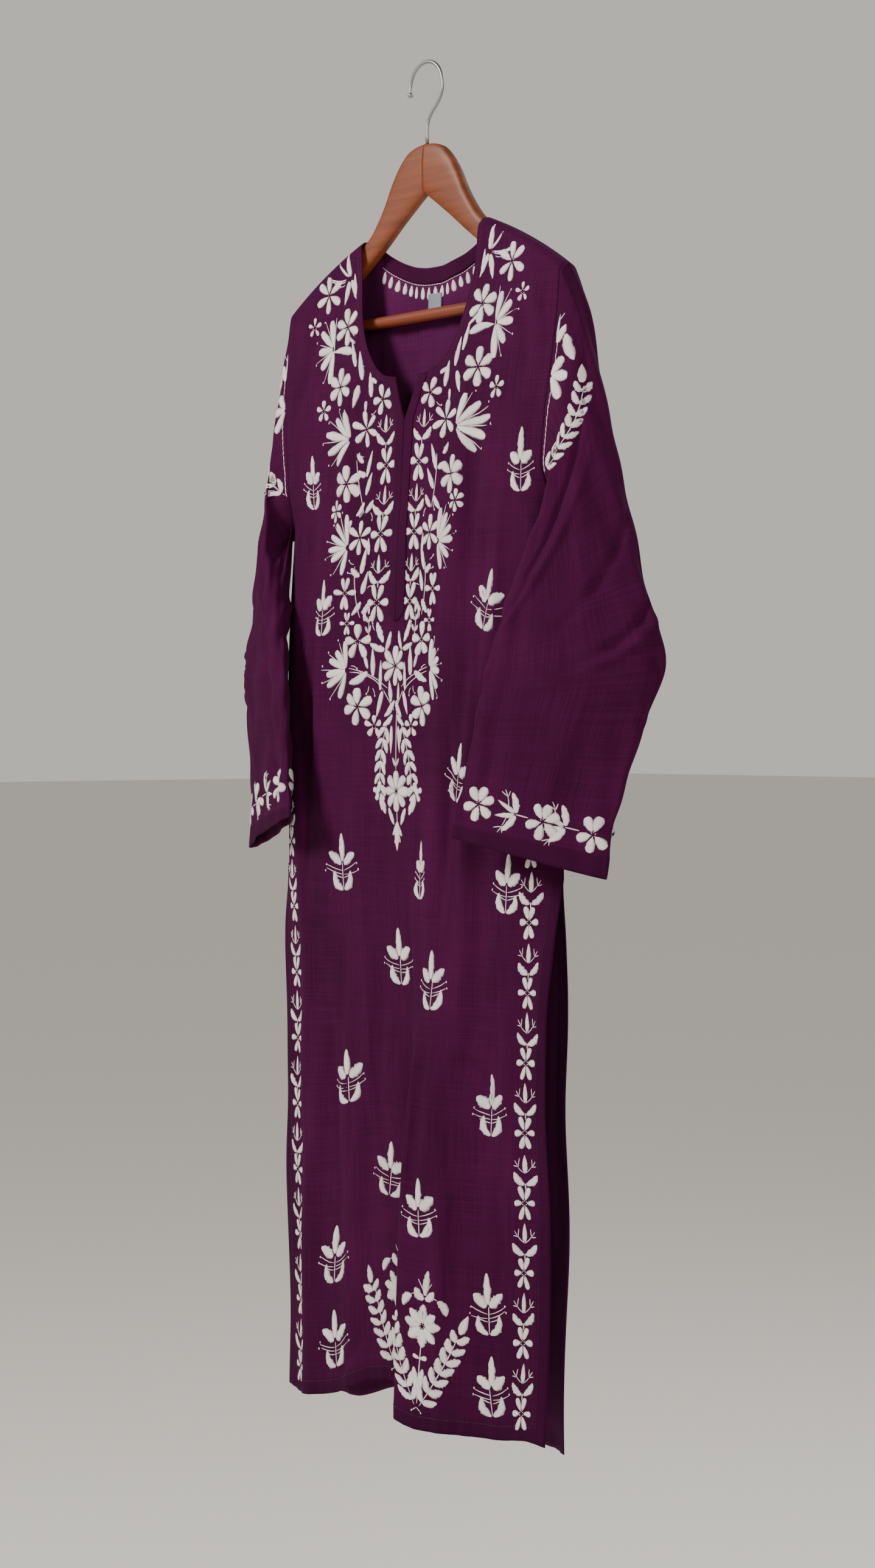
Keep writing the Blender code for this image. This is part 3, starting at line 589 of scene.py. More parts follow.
def add_uv(mesh: bpy.types.Mesh, name: str, places: Array) -> None:
    """A UV map with one place for each face corner."""
    layer = mesh.uv_layers.new(name=name)
    layer.data.foreach_set("uv", places.astype(np.float32).ravel())


def add_values(mesh: bpy.types.Mesh, name: str, values: Array) -> None:
    """A named number on each vertex."""
    layer = mesh.attributes.new(name, "FLOAT", "POINT")
    layer.data.foreach_set("value", values.astype(np.float32))


def grid_quads(rows: int, columns: int, last: int) -> Array:
    """Quads between the rows of a grid, over its first last columns and round to column 0."""
    row, column = np.meshgrid(np.arange(rows - 1), np.arange(last), indexing="ij")
    a, b = row * columns + column, row * columns + (column + 1) % columns
    return np.stack([a, b, b + columns, a + columns], axis=-1).reshape(-1, 4)


@dataclass
class MeshMaker:
    """Turns grids of points into mesh objects that ride on the part's body."""

    name: str
    materials: list[bpy.types.Material]
    slot: str

    def link(self, mesh: bpy.types.Mesh) -> bpy.types.Object:
        """Links a finished mesh as an object with its materials and body."""
        for material in self.materials:
            mesh.materials.append(material)
        mesh.shade_smooth()
        thing = bpy.data.objects.new(self.name, mesh)
        bpy.context.scene.collection.objects.link(thing)
        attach(thing, BODY)
        return thing

    def wall(
        self,
        outer: Array,
        inner: Array,
        flat: Array,
        closed_round: bool = False,
        masks: dict[str, Array] | None = None,
    ) -> bpy.types.Object:
        """A closed wall between two grids: outer faces, inner faces and a rim.

        Args:
            outer: Rows x columns x 3 points of the outer face.
            inner: The same nodes on the inner face.
            flat: Rows x columns x 2 flat places, kept as the UV map in metres.
            closed_round: Whether the last column joins the first, as on a tube.
            masks: Named values on the grid, kept as attributes.

        Returns:
            The object. Inner faces take the second material, if there is one.
        """
        rows, columns = outer.shape[:2]
        count = rows * columns
        last = columns if closed_round else columns - 1
        outside = grid_quads(rows, columns, last)
        edge = np.arange(last)
        after = (edge + 1) % columns
        bottom = (rows - 1) * columns
        rims = [
            np.stack([after, edge, edge + count, after + count], axis=1),
            np.stack([bottom + edge, bottom + after, bottom + after + count,
                      bottom + edge + count], axis=1),
        ]
        if not closed_round:
            down = np.arange(rows - 1) * columns
            far = down + columns - 1
            rims.append(np.stack([down, down + columns, down + columns + count, down + count], 1))
            rims.append(np.stack([far + columns, far, far + count, far + columns + count], 1))
        faces = np.concatenate([outside, outside[:, ::-1] + count, *rims])
        points = np.concatenate([outer.reshape(-1, 3), inner.reshape(-1, 3)])
        middle = np.mean(np.cross(
            outer[1:, :-1] - outer[:-1, :-1], outer[:-1, 1:] - outer[:-1, :-1]
        ) * (outer - inner)[:-1, :-1])
        if middle > 0:
            faces = faces[:, ::-1]
        mesh = bpy.data.meshes.new(self.name)
        mesh.from_pydata(points, [], faces.tolist())
        place = np.concatenate([flat.reshape(-1, 2)] * 2)[corners(mesh)]
        if closed_round:
            wrap = flat[0, -1, 0] + (flat[0, -1, 0] - flat[0, -2, 0])
            quad = place.reshape(-1, 4, 2)
            jump = (quad[..., 0].max(1) - quad[..., 0].min(1)) > 0.5 * wrap
            low = quad[..., 0] < 0.25 * wrap
            quad[..., 0] += np.where(jump[:, None] & low, wrap, 0.0)
        add_uv(mesh, "flat", place)
        if len(self.materials) > 1:
            inside = np.zeros(len(faces), np.int32)
            inside[len(outside):2 * len(outside)] = 1
            mesh.polygons.foreach_set("material_index", inside)
        for label, values in (masks or {}).items():
            add_values(mesh, label, np.concatenate([values.ravel(), values.ravel()]))
        return self.link(mesh)

    def tube(self, ring: Array, flat: Array) -> bpy.types.Object:
        """A solid skin over rings of points, rings x around x 3, with a pole at each end."""
        rings, around = ring.shape[:2]
        quads = grid_quads(rings, around, around)
        points = np.concatenate([ring.reshape(-1, 3), ring[:1].mean(1), ring[-1:].mean(1)])
        first, second = rings * around, rings * around + 1
        edge = np.arange(around)
        after = (edge + 1) % around
        base = (rings - 1) * around
        caps = [(first, int(j), int(i)) for i, j in zip(edge, after)]
        caps += [(second, int(base + i), int(base + j)) for i, j in zip(edge, after)]
        mesh = bpy.data.meshes.new(self.name)
        mesh.from_pydata(points, [], quads.tolist() + caps)
        way = np.mean(np.cross(
            np.roll(ring, -1, 1)[:-1] - ring[:-1], ring[1:] - ring[:-1]
        ) * (ring - ring.mean(1, keepdims=True))[:-1])
        if way < 0:
            mesh.flip_normals()
        ends = np.stack([flat[0].mean(0), flat[-1].mean(0)])
        place = np.concatenate([flat.reshape(-1, 2), ends])[corners(mesh)]
        add_uv(mesh, "flat", place)
        return self.link(mesh)


class Shape(Enum):
    """Outlines that satin stitch fills."""

    PETAL = "petal"
    LEAF = "leaf"
    SPEAR = "spear"
    STEM = "stem"
    TWIG = "twig"
    KNOT = "knot"


@dataclass(frozen=True)
class Outline:
    """How a shape is filled: its width curve t^base (1-t)^tip, its rows, dome and threads."""

    rows: int
    base: float
    tip: float
    across: tuple[float, ...]
    heights: tuple[float, ...]
    dome: float
    ragged: float
    slant: float


FIVE_ACROSS = (-1.0, -0.58, 0.0, 0.58, 1.0)
OUTLINES = {
    Shape.PETAL: Outline(9, 0.72, 0.36, FIVE_ACROSS, (0, 0.95, 0.62, 0.95, 0), 0.0011, 0.10, 0.9),
    Shape.LEAF: Outline(11, 0.55, 0.66, FIVE_ACROSS, (0, 1.0, 0.34, 1.0, 0), 0.0011, 0.22, 1.1),
    Shape.SPEAR: Outline(9, 0.50, 0.90, FIVE_ACROSS, (0, 1.0, 0.50, 1.0, 0), 0.0010, 0.16, 1.1),
    Shape.STEM: Outline(12, 0.10, 0.10, (-1, 0, 1), (0, 1, 0), 0.0016, 0.12, 0.8),
    Shape.TWIG: Outline(4, 0.18, 0.18, (-1, 0, 1), (0, 1, 0), 0.0017, 0.08, 0.8),
    Shape.KNOT: Outline(3, 0.50, 0.50, FIVE_ACROSS, (0, 0.9, 1.0, 0.9, 0), 0.0018, 0.04, 0.0),
}


class Stitch(NamedTuple):
    """One filled shape on the flat cloth: base, way in degrees from up, size and bend."""

    shape: Shape
    x: float
    y: float
    turn: float
    length: float
    half: float
    bend: float = 0.0


def squeezed(stitch: Stitch, factor: float) -> Stitch:
    """A stitch narrowed across the cloth: its place, direction, length and half width."""
    sine, cosine = math.sin(math.radians(stitch.turn)), math.cos(math.radians(stitch.turn))
    stretch = math.hypot(factor * sine, cosine)
    return stitch._replace(
        x=stitch.x * factor,
        turn=math.degrees(math.atan2(factor * sine, cosine)),
        length=stitch.length * stretch,
        half=stitch.half * (0.35 + 0.65 * factor / stretch),
    )


def moved(
    stitches: Sequence[Stitch],
    x: float,
    y: float,
    turn: float = 0.0,
    size: float = 1.0,
    flip: bool = False,
    squeeze: float = 1.0,
) -> list[Stitch]:
    """A motif put in its place on the flat cloth.

    Args:
        stitches: The motif round its own origin.
        x: Where the origin goes, across.
        y: Where the origin goes, its level.
        turn: Degrees clockwise, seen from outside.
        size: Factor on everything.
        flip: Whether left and right swap first.
        squeeze: Factor across, for a motif that runs over a sharp fold.

    Returns:
        The moved stitches.
    """
    cosine, sine = math.cos(math.radians(turn)), math.sin(math.radians(turn))
    sign = -1.0 if flip else 1.0
    result = []
    for s in stitches:
        px, py = sign * s.x * size, s.y * size
        turned = Stitch(s.shape, px * cosine + py * sine, py * cosine - px * sine,
                        sign * s.turn + turn, s.length * size, s.half * size, sign * s.bend)
        narrow = squeezed(turned, squeeze)
        result.append(narrow._replace(x=x + narrow.x, y=y + narrow.y))
    return result


@dataclass
class Needlework:
    """Stitches gathered for one cloth and laid on it as raised, closed patches."""

    name: str
    material: bpy.types.Material
    slot: str
    seed: int
    base_lift: float = -0.00022
    thread_pitch: float = 0.0013
    stitches: list[Stitch] = field(default_factory=list)

    def add(self, *motifs: Sequence[Stitch]) -> None:
        """Gathers motifs that are already in place."""
        for motif in motifs:
            self.stitches.extend(motif)

    def keep(self, covers: Callable[[Array, Array], Array]) -> None:
        """Drops each stitch whose base, middle or tip is not over the cloth."""
        x, y, turn, length = np.array([s[1:5] for s in self.stitches], float).T
        share = np.array([[0.0], [0.5], [1.0]])
        way = np.radians(turn)
        over = covers(x + share * length * np.sin(way), y + share * length * np.cos(way))
        self.stitches = [s for s, whole in zip(self.stitches, over.all(axis=0)) if whole]

    def lay(self, place: Callable[[Array, Array, Array], Array]) -> bpy.types.Object:
        """Builds every stitch on a surface as one joined mesh.

        Each stitch is a grid over its length t and width s. Its flat place is
        base + length * t * way + (half(t) * s + bend * length * 4t(1-t)) * side, and its
        height is the dome sqrt(4t(1-t)) times the profile at s.

        Args:
            place: Puts flat points with a lift on the cloth.

        Returns:
            The joined object.
        """
        draw = np.random.default_rng(self.seed)
        points, faces, threads, rims, tones, offset = [], [], [], [], [], 0
        for shape, outline in OUTLINES.items():
            rows = [s for s in self.stitches if s.shape is shape]
            if not rows:
                continue
            values = np.array([s[1:] for s in rows], float)
            x, y, turn, length, half, bend = values.T[:, :, None]
            count = len(rows)
            turn = np.radians(turn + draw.normal(0, 2.5, (count, 1)))
            length = length * (1 + draw.normal(0, 0.035, (count, 1)))
            half = half * (1 + draw.normal(0, 0.05, (count, 1)))
            t = np.concatenate([[0.0], np.linspace(0.04, 0.965, outline.rows), [1.0]])
            curve = t**outline.base * (1 - t) ** outline.tip
            peak = outline.base / (outline.base + outline.tip)
            curve = curve / (peak**outline.base * (1 - peak) ** outline.tip)
            width = half * curve
            s = np.array(outline.across)
            jag = outline.ragged * draw.uniform(-1, 1, (count, len(t), len(s)))
            jag = 1 + jag * (np.abs(s) > 0.9)
            lean = bend * length * 4 * t * (1 - t)
            forward = (length * t)[..., None] + 0 * s
            sideways = width[..., None] * s * jag + lean[..., None]
            cosine, sine = np.cos(turn)[..., None], np.sin(turn)[..., None]
            u = x[..., None] + forward * sine + sideways * cosine
            level = y[..., None] + forward * cosine - sideways * sine
            dome = np.sqrt(4 * t * (1 - t)) ** 0.7
            height = dome[:, None] * np.array(outline.heights) * outline.dome
            size = np.clip(half / 0.0045, 0.45, 1.20)[..., None]
            lift = self.base_lift + height[None] * size * (1 + draw.normal(0, 0.1, (count, 1, 1)))
            grid = place(u, level, lift)
            # Painted-shade mask: 1 at a stitch's rim and 0 on its crown; the thread material darkens
            # its colour there.
            edge = np.abs(s) ** 3 + 0 * forward
            if outline.slant > 0:
                thread = (forward - outline.slant * np.abs(sideways - lean[..., None]))
                thread = thread / self.thread_pitch
            else:
                thread = sideways / self.thread_pitch
            run = forward * 60 + draw.uniform(0, 90, (count, 1, 1))
            tone = draw.uniform(0, 1, (count, 1, 1)) + 0 * forward
            parts = [grid, np.stack([thread, run], -1), edge[..., None], tone[..., None]]
            flats = [self._poled(part) for part in parts]
            template = self._template(outline.rows, len(s))
            verts = flats[0].shape[1]
            shift = offset + verts * np.arange(count)
            for group in template:
                faces += (group[None] + shift[:, None, None]).reshape(-1, group.shape[1]).tolist()
            points.append(flats[0].reshape(-1, 3))
            threads.append(flats[1].reshape(-1, 2))
            rims.append(flats[2].ravel())
            tones.append(flats[3].ravel())
            offset += verts * count
        mesh = bpy.data.meshes.new(self.name)
        mesh.from_pydata(np.concatenate(points), [], faces)
        add_uv(mesh, "thread", np.concatenate(threads)[corners(mesh)])
        # The rim attribute carries the painted-shade mask of the stitch rims.
        for label, parts in (("rim", rims), ("tone", tones)):
            add_values(mesh, label, np.concatenate(parts))
        LOG.info("%s: %d stitches, %d faces", self.name, len(self.stitches), len(faces))
        return MeshMaker(self.name, [self.material], self.slot).link(mesh)

    @staticmethod
    def _poled(grid: Array) -> Array:
        """Stitch grids with their first and last rows drawn together into one pole each."""
        start, end = grid[:, :1].mean(axis=2), grid[:, -1:].mean(axis=2)
        middle = grid[:, 1:-1].reshape(len(grid), -1, grid.shape[-1])
        return np.concatenate([start, middle, end], axis=1)

    @staticmethod
    def _template(rows: int, columns: int) -> list[Array]:
        """Faces of one stitch over its poles and rows: top quads, a flat underside and ends."""
        end = 1 + rows * columns
        node = 1 + np.arange(rows * columns).reshape(rows, columns)
        top = np.stack([node[:-1, :-1], node[:-1, 1:], node[1:, 1:], node[1:, :-1]], -1)
        under = np.stack([node[:-1, -1], node[:-1, 0], node[1:, 0], node[1:, -1]], -1)
        quads = np.concatenate([top.reshape(-1, 4), under])
        first = np.stack([0 * node[0, 1:], node[0, 1:], node[0, :-1]], -1)
        last = np.stack([0 * node[-1, 1:] + end, node[-1, :-1], node[-1, 1:]], -1)
        ends = [[0, node[0, 0], node[0, -1]], [end, node[-1, -1], node[-1, 0]]]
        tris = np.concatenate([first, last, np.array(ends)])
        return [quads[:, ::-1], tris[:, ::-1]]


def ring_of(
    shape: Shape, turns: Sequence[float], reach: float, length: float, half: float
) -> list[Stitch]:
    """Stitches that radiate from a centre, each starting at reach from it."""
    return [
        Stitch(shape, reach * math.sin(math.radians(a)), reach * math.cos(math.radians(a)), a,
               length, half)
        for a in turns
    ]


@dataclass(frozen=True)
class Motifs:
    """The flower, leaf and spray motifs of the embroidery, in metres round their own origin."""

    eye: float = 0.0017
    knot: float = 0.0011
    thread: float = 0.0007

    def eyelet(self) -> list[Stitch]:
        """The small stitched ring at a flower's middle."""
        turns = range(0, 360, 60)
        return ring_of(Shape.TWIG, turns, self.eye, 0.0013, 0.0007)

    def flower(
        self, turns: Sequence[float], length: float, half: float, shape: Shape = Shape.PETAL
    ) -> list[Stitch]:
        """A flower of equal petals round an eyelet."""
        return self.eyelet() + ring_of(shape, turns, self.eye + 0.0010, length, half)

    def six_petals(self) -> list[Stitch]:
        """Two petals up, two to the sides and two down, a little taller than wide."""
        tall = ring_of(Shape.PETAL, (-20, 20, 160, 200), self.eye + 0.0010, 0.0132, 0.0033)
        wide = ring_of(Shape.PETAL, (-88, 88), self.eye + 0.0010, 0.0094, 0.0036)
        return self.eyelet() + tall + wide

    def knotted(
        self, x: float, y: float, turn: float, length: float, bend: float = 0.0
    ) -> list[Stitch]:
        """A thin thread with a knot at its end."""
        angle = math.radians(turn)
        end = (x + length * math.sin(angle), y + length * math.cos(angle))
        return [
            Stitch(Shape.TWIG, x, y, turn, length, self.thread, bend),
            Stitch(Shape.KNOT, end[0], end[1] - self.knot, 0, 2 * self.knot, self.knot),
        ]

    def sprig(self, side: float) -> list[Stitch]:
        """A thread that forks into three knotted prongs."""
        stem = Stitch(Shape.TWIG, 0, 0, 50 * side, 0.0105, 0.0007, 0.06 * side)
        fork = (0.0080 * side, 0.0062)
        return [stem] + [
            Stitch(Shape.TWIG, fork[0], fork[1], turn * side, length, 0.0007)
            for turn, length in ((-4, 0.0082), (34, 0.0074), (76, 0.0056))
        ]

    def bud(self) -> list[Stitch]:
        """A pointed bud between two sprigs, its base at the origin."""
        middle = [Stitch(Shape.SPEAR, 0, 0, 0, 0.0195, 0.0030)]
        return middle + self.sprig(-1) + self.sprig(1)

    def tulip(self) -> list[Stitch]:
        """Two pointed leaves that open in a V over a short stem."""
        return [
            Stitch(Shape.LEAF, -0.0010, 0, -46, 0.0175, 0.0038, -0.12),
            Stitch(Shape.LEAF, 0.0010, 0, 46, 0.0175, 0.0038, 0.12),
            Stitch(Shape.TWIG, 0, 0.002, 180, 0.0070, 0.0010),
        ]

    def link_chain(self, step: float) -> list[Stitch]:
        """One repeat of the upright border: flower, bud with sprigs and tulip leaves."""
        bud = moved(self.bud(), 0, -0.575 * step)
        return self.six_petals() + bud + moved(self.tulip(), 0, -0.745 * step)

    def buti(self) -> list[Stitch]:
        """The scattered sprig: a leaf between two petals, knotted arms and a cup below."""
        parts = [
            Stitch(Shape.LEAF, 0, 0.0015, 0, 0.0295, 0.0052),
            Stitch(Shape.LEAF, -0.0022, -0.0005, -56, 0.0215, 0.0062),
            Stitch(Shape.LEAF, 0.0022, -0.0005, 56, 0.0215, 0.0062),
            Stitch(Shape.STEM, 0, -0.0262, 0, 0.0270, 0.0009),
            Stitch(Shape.LEAF, -0.0012, -0.0265, -32, 0.0225, 0.0050, -0.22),
            Stitch(Shape.LEAF, 0.0012, -0.0265, 32, 0.0225, 0.0050, 0.22),
        ]
        for side in (-1, 1):
            parts += self.knotted(0.0008 * side, -0.0108, 79 * side, 0.0245, 0.05 * side)
            parts += self.knotted(0.0008 * side, -0.0070, 73 * side, 0.0235, 0.05 * side)
            parts.append(Stitch(Shape.TWIG, 0.0008 * side, -0.0142, 74 * side, 0.0165, 0.0008,
                                0.05 * side))
        return parts

    def fan(self, turns: Sequence[float], lengths: Sequence[float], half: float) -> list[Stitch]:
        """Half a flower: big petals with knotted threads between them."""
        parts = []
        for turn, length in zip(turns, lengths):
            parts += ring_of(Shape.PETAL, (turn,), 0.0024, length - 0.001, 0.68 * half)
        for i in range(len(turns) - 1):
            turn = 0.5 * (turns[i] + turns[i + 1])
            length = 0.5 * (lengths[i] + lengths[i + 1]) + 0.0040
            parts += self.knotted(0.002 * math.sin(math.radians(turn)),
                                  0.002 * math.cos(math.radians(turn)), turn, length)
        return parts

    def branch(
        self, length: float, leaves: int, leaf: float, half: float, bend: float, spread: float
    ) -> list[Stitch]:
        """A stem along +Y with pairs of leaves and one at its tip; it bows by bend."""
        parts = [Stitch(Shape.STEM, 0, 0, 0, length, 0.0009, bend)]
        for i in range(leaves):
            t = (i + 0.6) / (leaves + 0.3)
            x, y = bend * length * 4 * t * (1 - t), length * t
            way = math.degrees(math.atan(bend * 4 * (1 - 2 * t)))
            size = leaf * (1.0 - 0.25 * t)
            for side in (-1, 1):
                parts.append(Stitch(Shape.LEAF, x, y, way + spread * side, size, half, 0.07 * side))
        way = math.degrees(math.atan(-4 * bend))
        parts.append(Stitch(Shape.SPEAR, 0, length, way, leaf * 1.1, half))
        return parts


MOTIFS = Motifs()
FULL_FLOWER = (0, 45, 90, 135, 180, 225, 270, 315)
SIX = (0, 60, 120, 180, 240, 300)
FIVE = (0, 72, 144, 216, 288)

# Columns of both: u, level, turn, length, half width and bend.
SPEARS = (
    (0.1035, -0.1960, 8, 0.0250, 0.0046, 0.04), (0.1045, -0.1960, 46, 0.0270, 0.0020, 0.10),
    (0.1055, -0.1980, 76, 0.0400, 0.0024, 0.14), (0.1050, -0.2000, 165, 0.0250, 0.0042, 0.0),
    (0.1020, -0.1990, 203, 0.0250, 0.0036, 0.0), (0.0945, -0.2180, 6, 0.0240, 0.0034, 0.0),
    (0.0870, -0.2740, 84, 0.0330, 0.0046, -0.06), (0.0830, -0.2660, 52, 0.0290, 0.0022, 0.06),
    (0.0800, -0.2900, 14, 0.0300, 0.0040, 0.0), (0.0700, -0.3040, 10, 0.0300, 0.0042, 0.0),
    (0.0560, -0.3220, 8, 0.0260, 0.0042, 0.0), (0.0740, -0.3080, 160, 0.0240, 0.0044, 0.0),
    (0.0480, -0.3080, 64, 0.0150, 0.0026, 0.0), (0.0640, -0.3240, 176, 0.0130, 0.0026, 0.0),
    (0.0550, -0.4010, -20, 0.0280, 0.0034, 0.0), (0.0535, -0.4190, -25, 0.0240, 0.0034, 0.0),
    (0.0500, -0.4960, -14, 0.0270, 0.0034, 0.0), (0.0480, -0.5160, -16, 0.0240, 0.0034, 0.0),
    (0.0420, -0.4780, 4, 0.0180, 0.0024, 0.0), (0.0430, -0.5430, 8, 0.0150, 0.0024, 0.0),
    (0.0310, -0.5970, -2, 0.0290, 0.0036, 0.0), (0.0210, -0.6110, -3, 0.0290, 0.0034, 0.0),
    (0.0170, -0.6110, 157, 0.0270, 0.0040, 0.0), (0.0060, -0.6220, 3, 0.0210, 0.0028, 0.0),
    (0.0060, -0.6440, 178, 0.0300, 0.0030, 0.0),
)
LEAVES = (
    (0.0560, -0.3990, 70, 0.0140, 0.0038, 0.06), (0.0520, -0.4360, -42, 0.0170, 0.0036, -0.06),
    (0.0550, -0.4250, 138, 0.0190, 0.0034, 0.06), (0.0620, -0.3860, 44, 0.0130, 0.0034, 0.06),
    (0.0510, -0.4980, 58, 0.0150, 0.0038, 0.06), (0.0480, -0.5230, 140, 0.0180, 0.0036, 0.06),
    (0.0470, -0.5350, -38, 0.0180, 0.0036, -0.06), (0.0370, -0.5920, 114, 0.0260, 0.0042, 0.06),
    (0.0370, -0.5890, 22, 0.0160, 0.0026, 0.0), (0.0170, -0.5640, 22, 0.0240, 0.0036, 0.06),
    (0.0130, -0.5720, -19, 0.0210, 0.0034, -0.06), (0.0145, -0.5710, 71, 0.0210, 0.0038, 0.06),
    (0.0010, -0.6200, 142, 0.0210, 0.0038, 0.06), (0.0040, -0.6340, 128, 0.0170, 0.0034, 0.06),
    (0.0008, -0.6840, 30, 0.0100, 0.0022, 0.0), (0.0260, -0.7150, 200, 0.0170, 0.0036, 0.0),
    (0.0150, -0.7240, 212, 0.0190, 0.0034, 0.0), (0.0008, -0.7400, 148, 0.0130, 0.0030, 0.06),
    (0.0008, -0.7480, 158, 0.0110, 0.0026, 0.06), (0.0700, -0.4420, 150, 0.0130, 0.0030, 0.0),
)
# Share of its width that a sprig keeps: places across, then shares.
CHEST_WIDTHS = ((-0.15, -0.11, 0.09, 0.131, 0.172), (0.58, 0.70, 0.80, 1.00, 0.66))
BUTI_WIDTHS = ((-0.15, -0.08, 0.0, 0.06, 0.10, 0.16, 0.17), (1.0, 1.12, 0.95, 0.88, 0.80, 0.78, 0.6))
# Columns: u, level, turn, length and bend.
STEMS = (
    (0.1190, -0.3050, 2, 0.0750, 0.0), (0.0530, -0.4380, 12, 0.0560, 0.05),
    (0.0480, -0.5400, 8, 0.0540, 0.05), (0.0620, -0.5880, -112, 0.0560, 0.05),
    (0.0610, -0.5920, -118, 0.0520, 0.09), (0.0160, -0.6100, -142, 0.0240, 0.0),
)
# Columns: turns of the petals, their length and half width, u and level.
FLOWERS = (
    ((10, 70, 130, 190, 250, 310), 0.0165, 0.0042, 0.0610, -0.3530),
    ((5, 62, 118, 182, 240, 300), 0.0165, 0.0058, 0.0815, -0.4060),
    (SIX, 0.0085, 0.0032, 0.0960, -0.4320),
    ((0, 60, 128, 180, 232, 300), 0.0145, 0.0040, 0.0555, -0.4600),
    ((-16, 16, 88, 164, 196, 272), 0.0135, 0.0034, 0.0700, -0.5140),
    ((-16, 16, 88, 164, 196, 272), 0.0085, 0.0024, 0.0650, -0.5440),
    ((4, 84, 148, 212, 276), 0.0145, 0.0050, 0.0500, -0.5620),
    ((0, 48, 104, 172, 236, 296), 0.0160, 0.0056, 0.0500, -0.6260),
    (FIVE, 0.0085, 0.0034, 0.0310, -0.6450),
    (FIVE, 0.0075, 0.0032, 0.0280, -0.7090),
    ((0, 50, 120, 180, 240, 305), 0.0165, 0.0044, 0.1360, -0.2110),
    (FIVE, 0.0070, 0.0026, 0.1545, -0.2420),
    ((12, 70, 125, 190, 245, 318), 0.0165, 0.0054, 0.1010, -0.2470),
    (SIX, 0.0165, 0.0058, 0.1040, -0.3075),
    (FIVE, 0.0085, 0.0034, 0.1320, -0.3290),
)
# Columns: turns of the petals, their lengths, their half width, u and level.
FANS = (
    ((22, 50, 79, 103, 138), (0.031, 0.036, 0.046, 0.042, 0.035), 0.0074, 0.0800, -0.3620),
    ((8, 34, 62, 92, 122, 160), (0.033, 0.030, 0.028, 0.029, 0.027, 0.028), 0.0060, 0.0705, -0.4690),
    ((15, 52, 94, 140, 172), (0.029, 0.028, 0.024, 0.026, 0.034), 0.0072, 0.1200, -0.2670),
    ((8, 40, 68, 96, 126, 158), (0.029, 0.024, 0.025, 0.026, 0.030, 0.030), 0.0062, 0.0640, -0.5900),
)
# Knotted threads. Columns: u, level and turn.
KNOTS = (
    (0.112, -0.203, 100), (0.087, -0.258, 40), (0.068, -0.290, 60),
    (0.046, -0.335, 120), (0.117, -0.306, 20), (0.090, -0.340, 20),
    (0.062, -0.380, 64), (0.064, -0.398, 80), (0.056, -0.432, 150),
    (0.044, -0.436, 200), (0.060, -0.486, 60), (0.060, -0.494, 88),
    (0.042, -0.510, 280), (0.058, -0.586, 250), (0.050, -0.590, 230),
    (0.036, -0.606, 160), (0.032, -0.608, 200), (0.028, -0.552, 20),
)


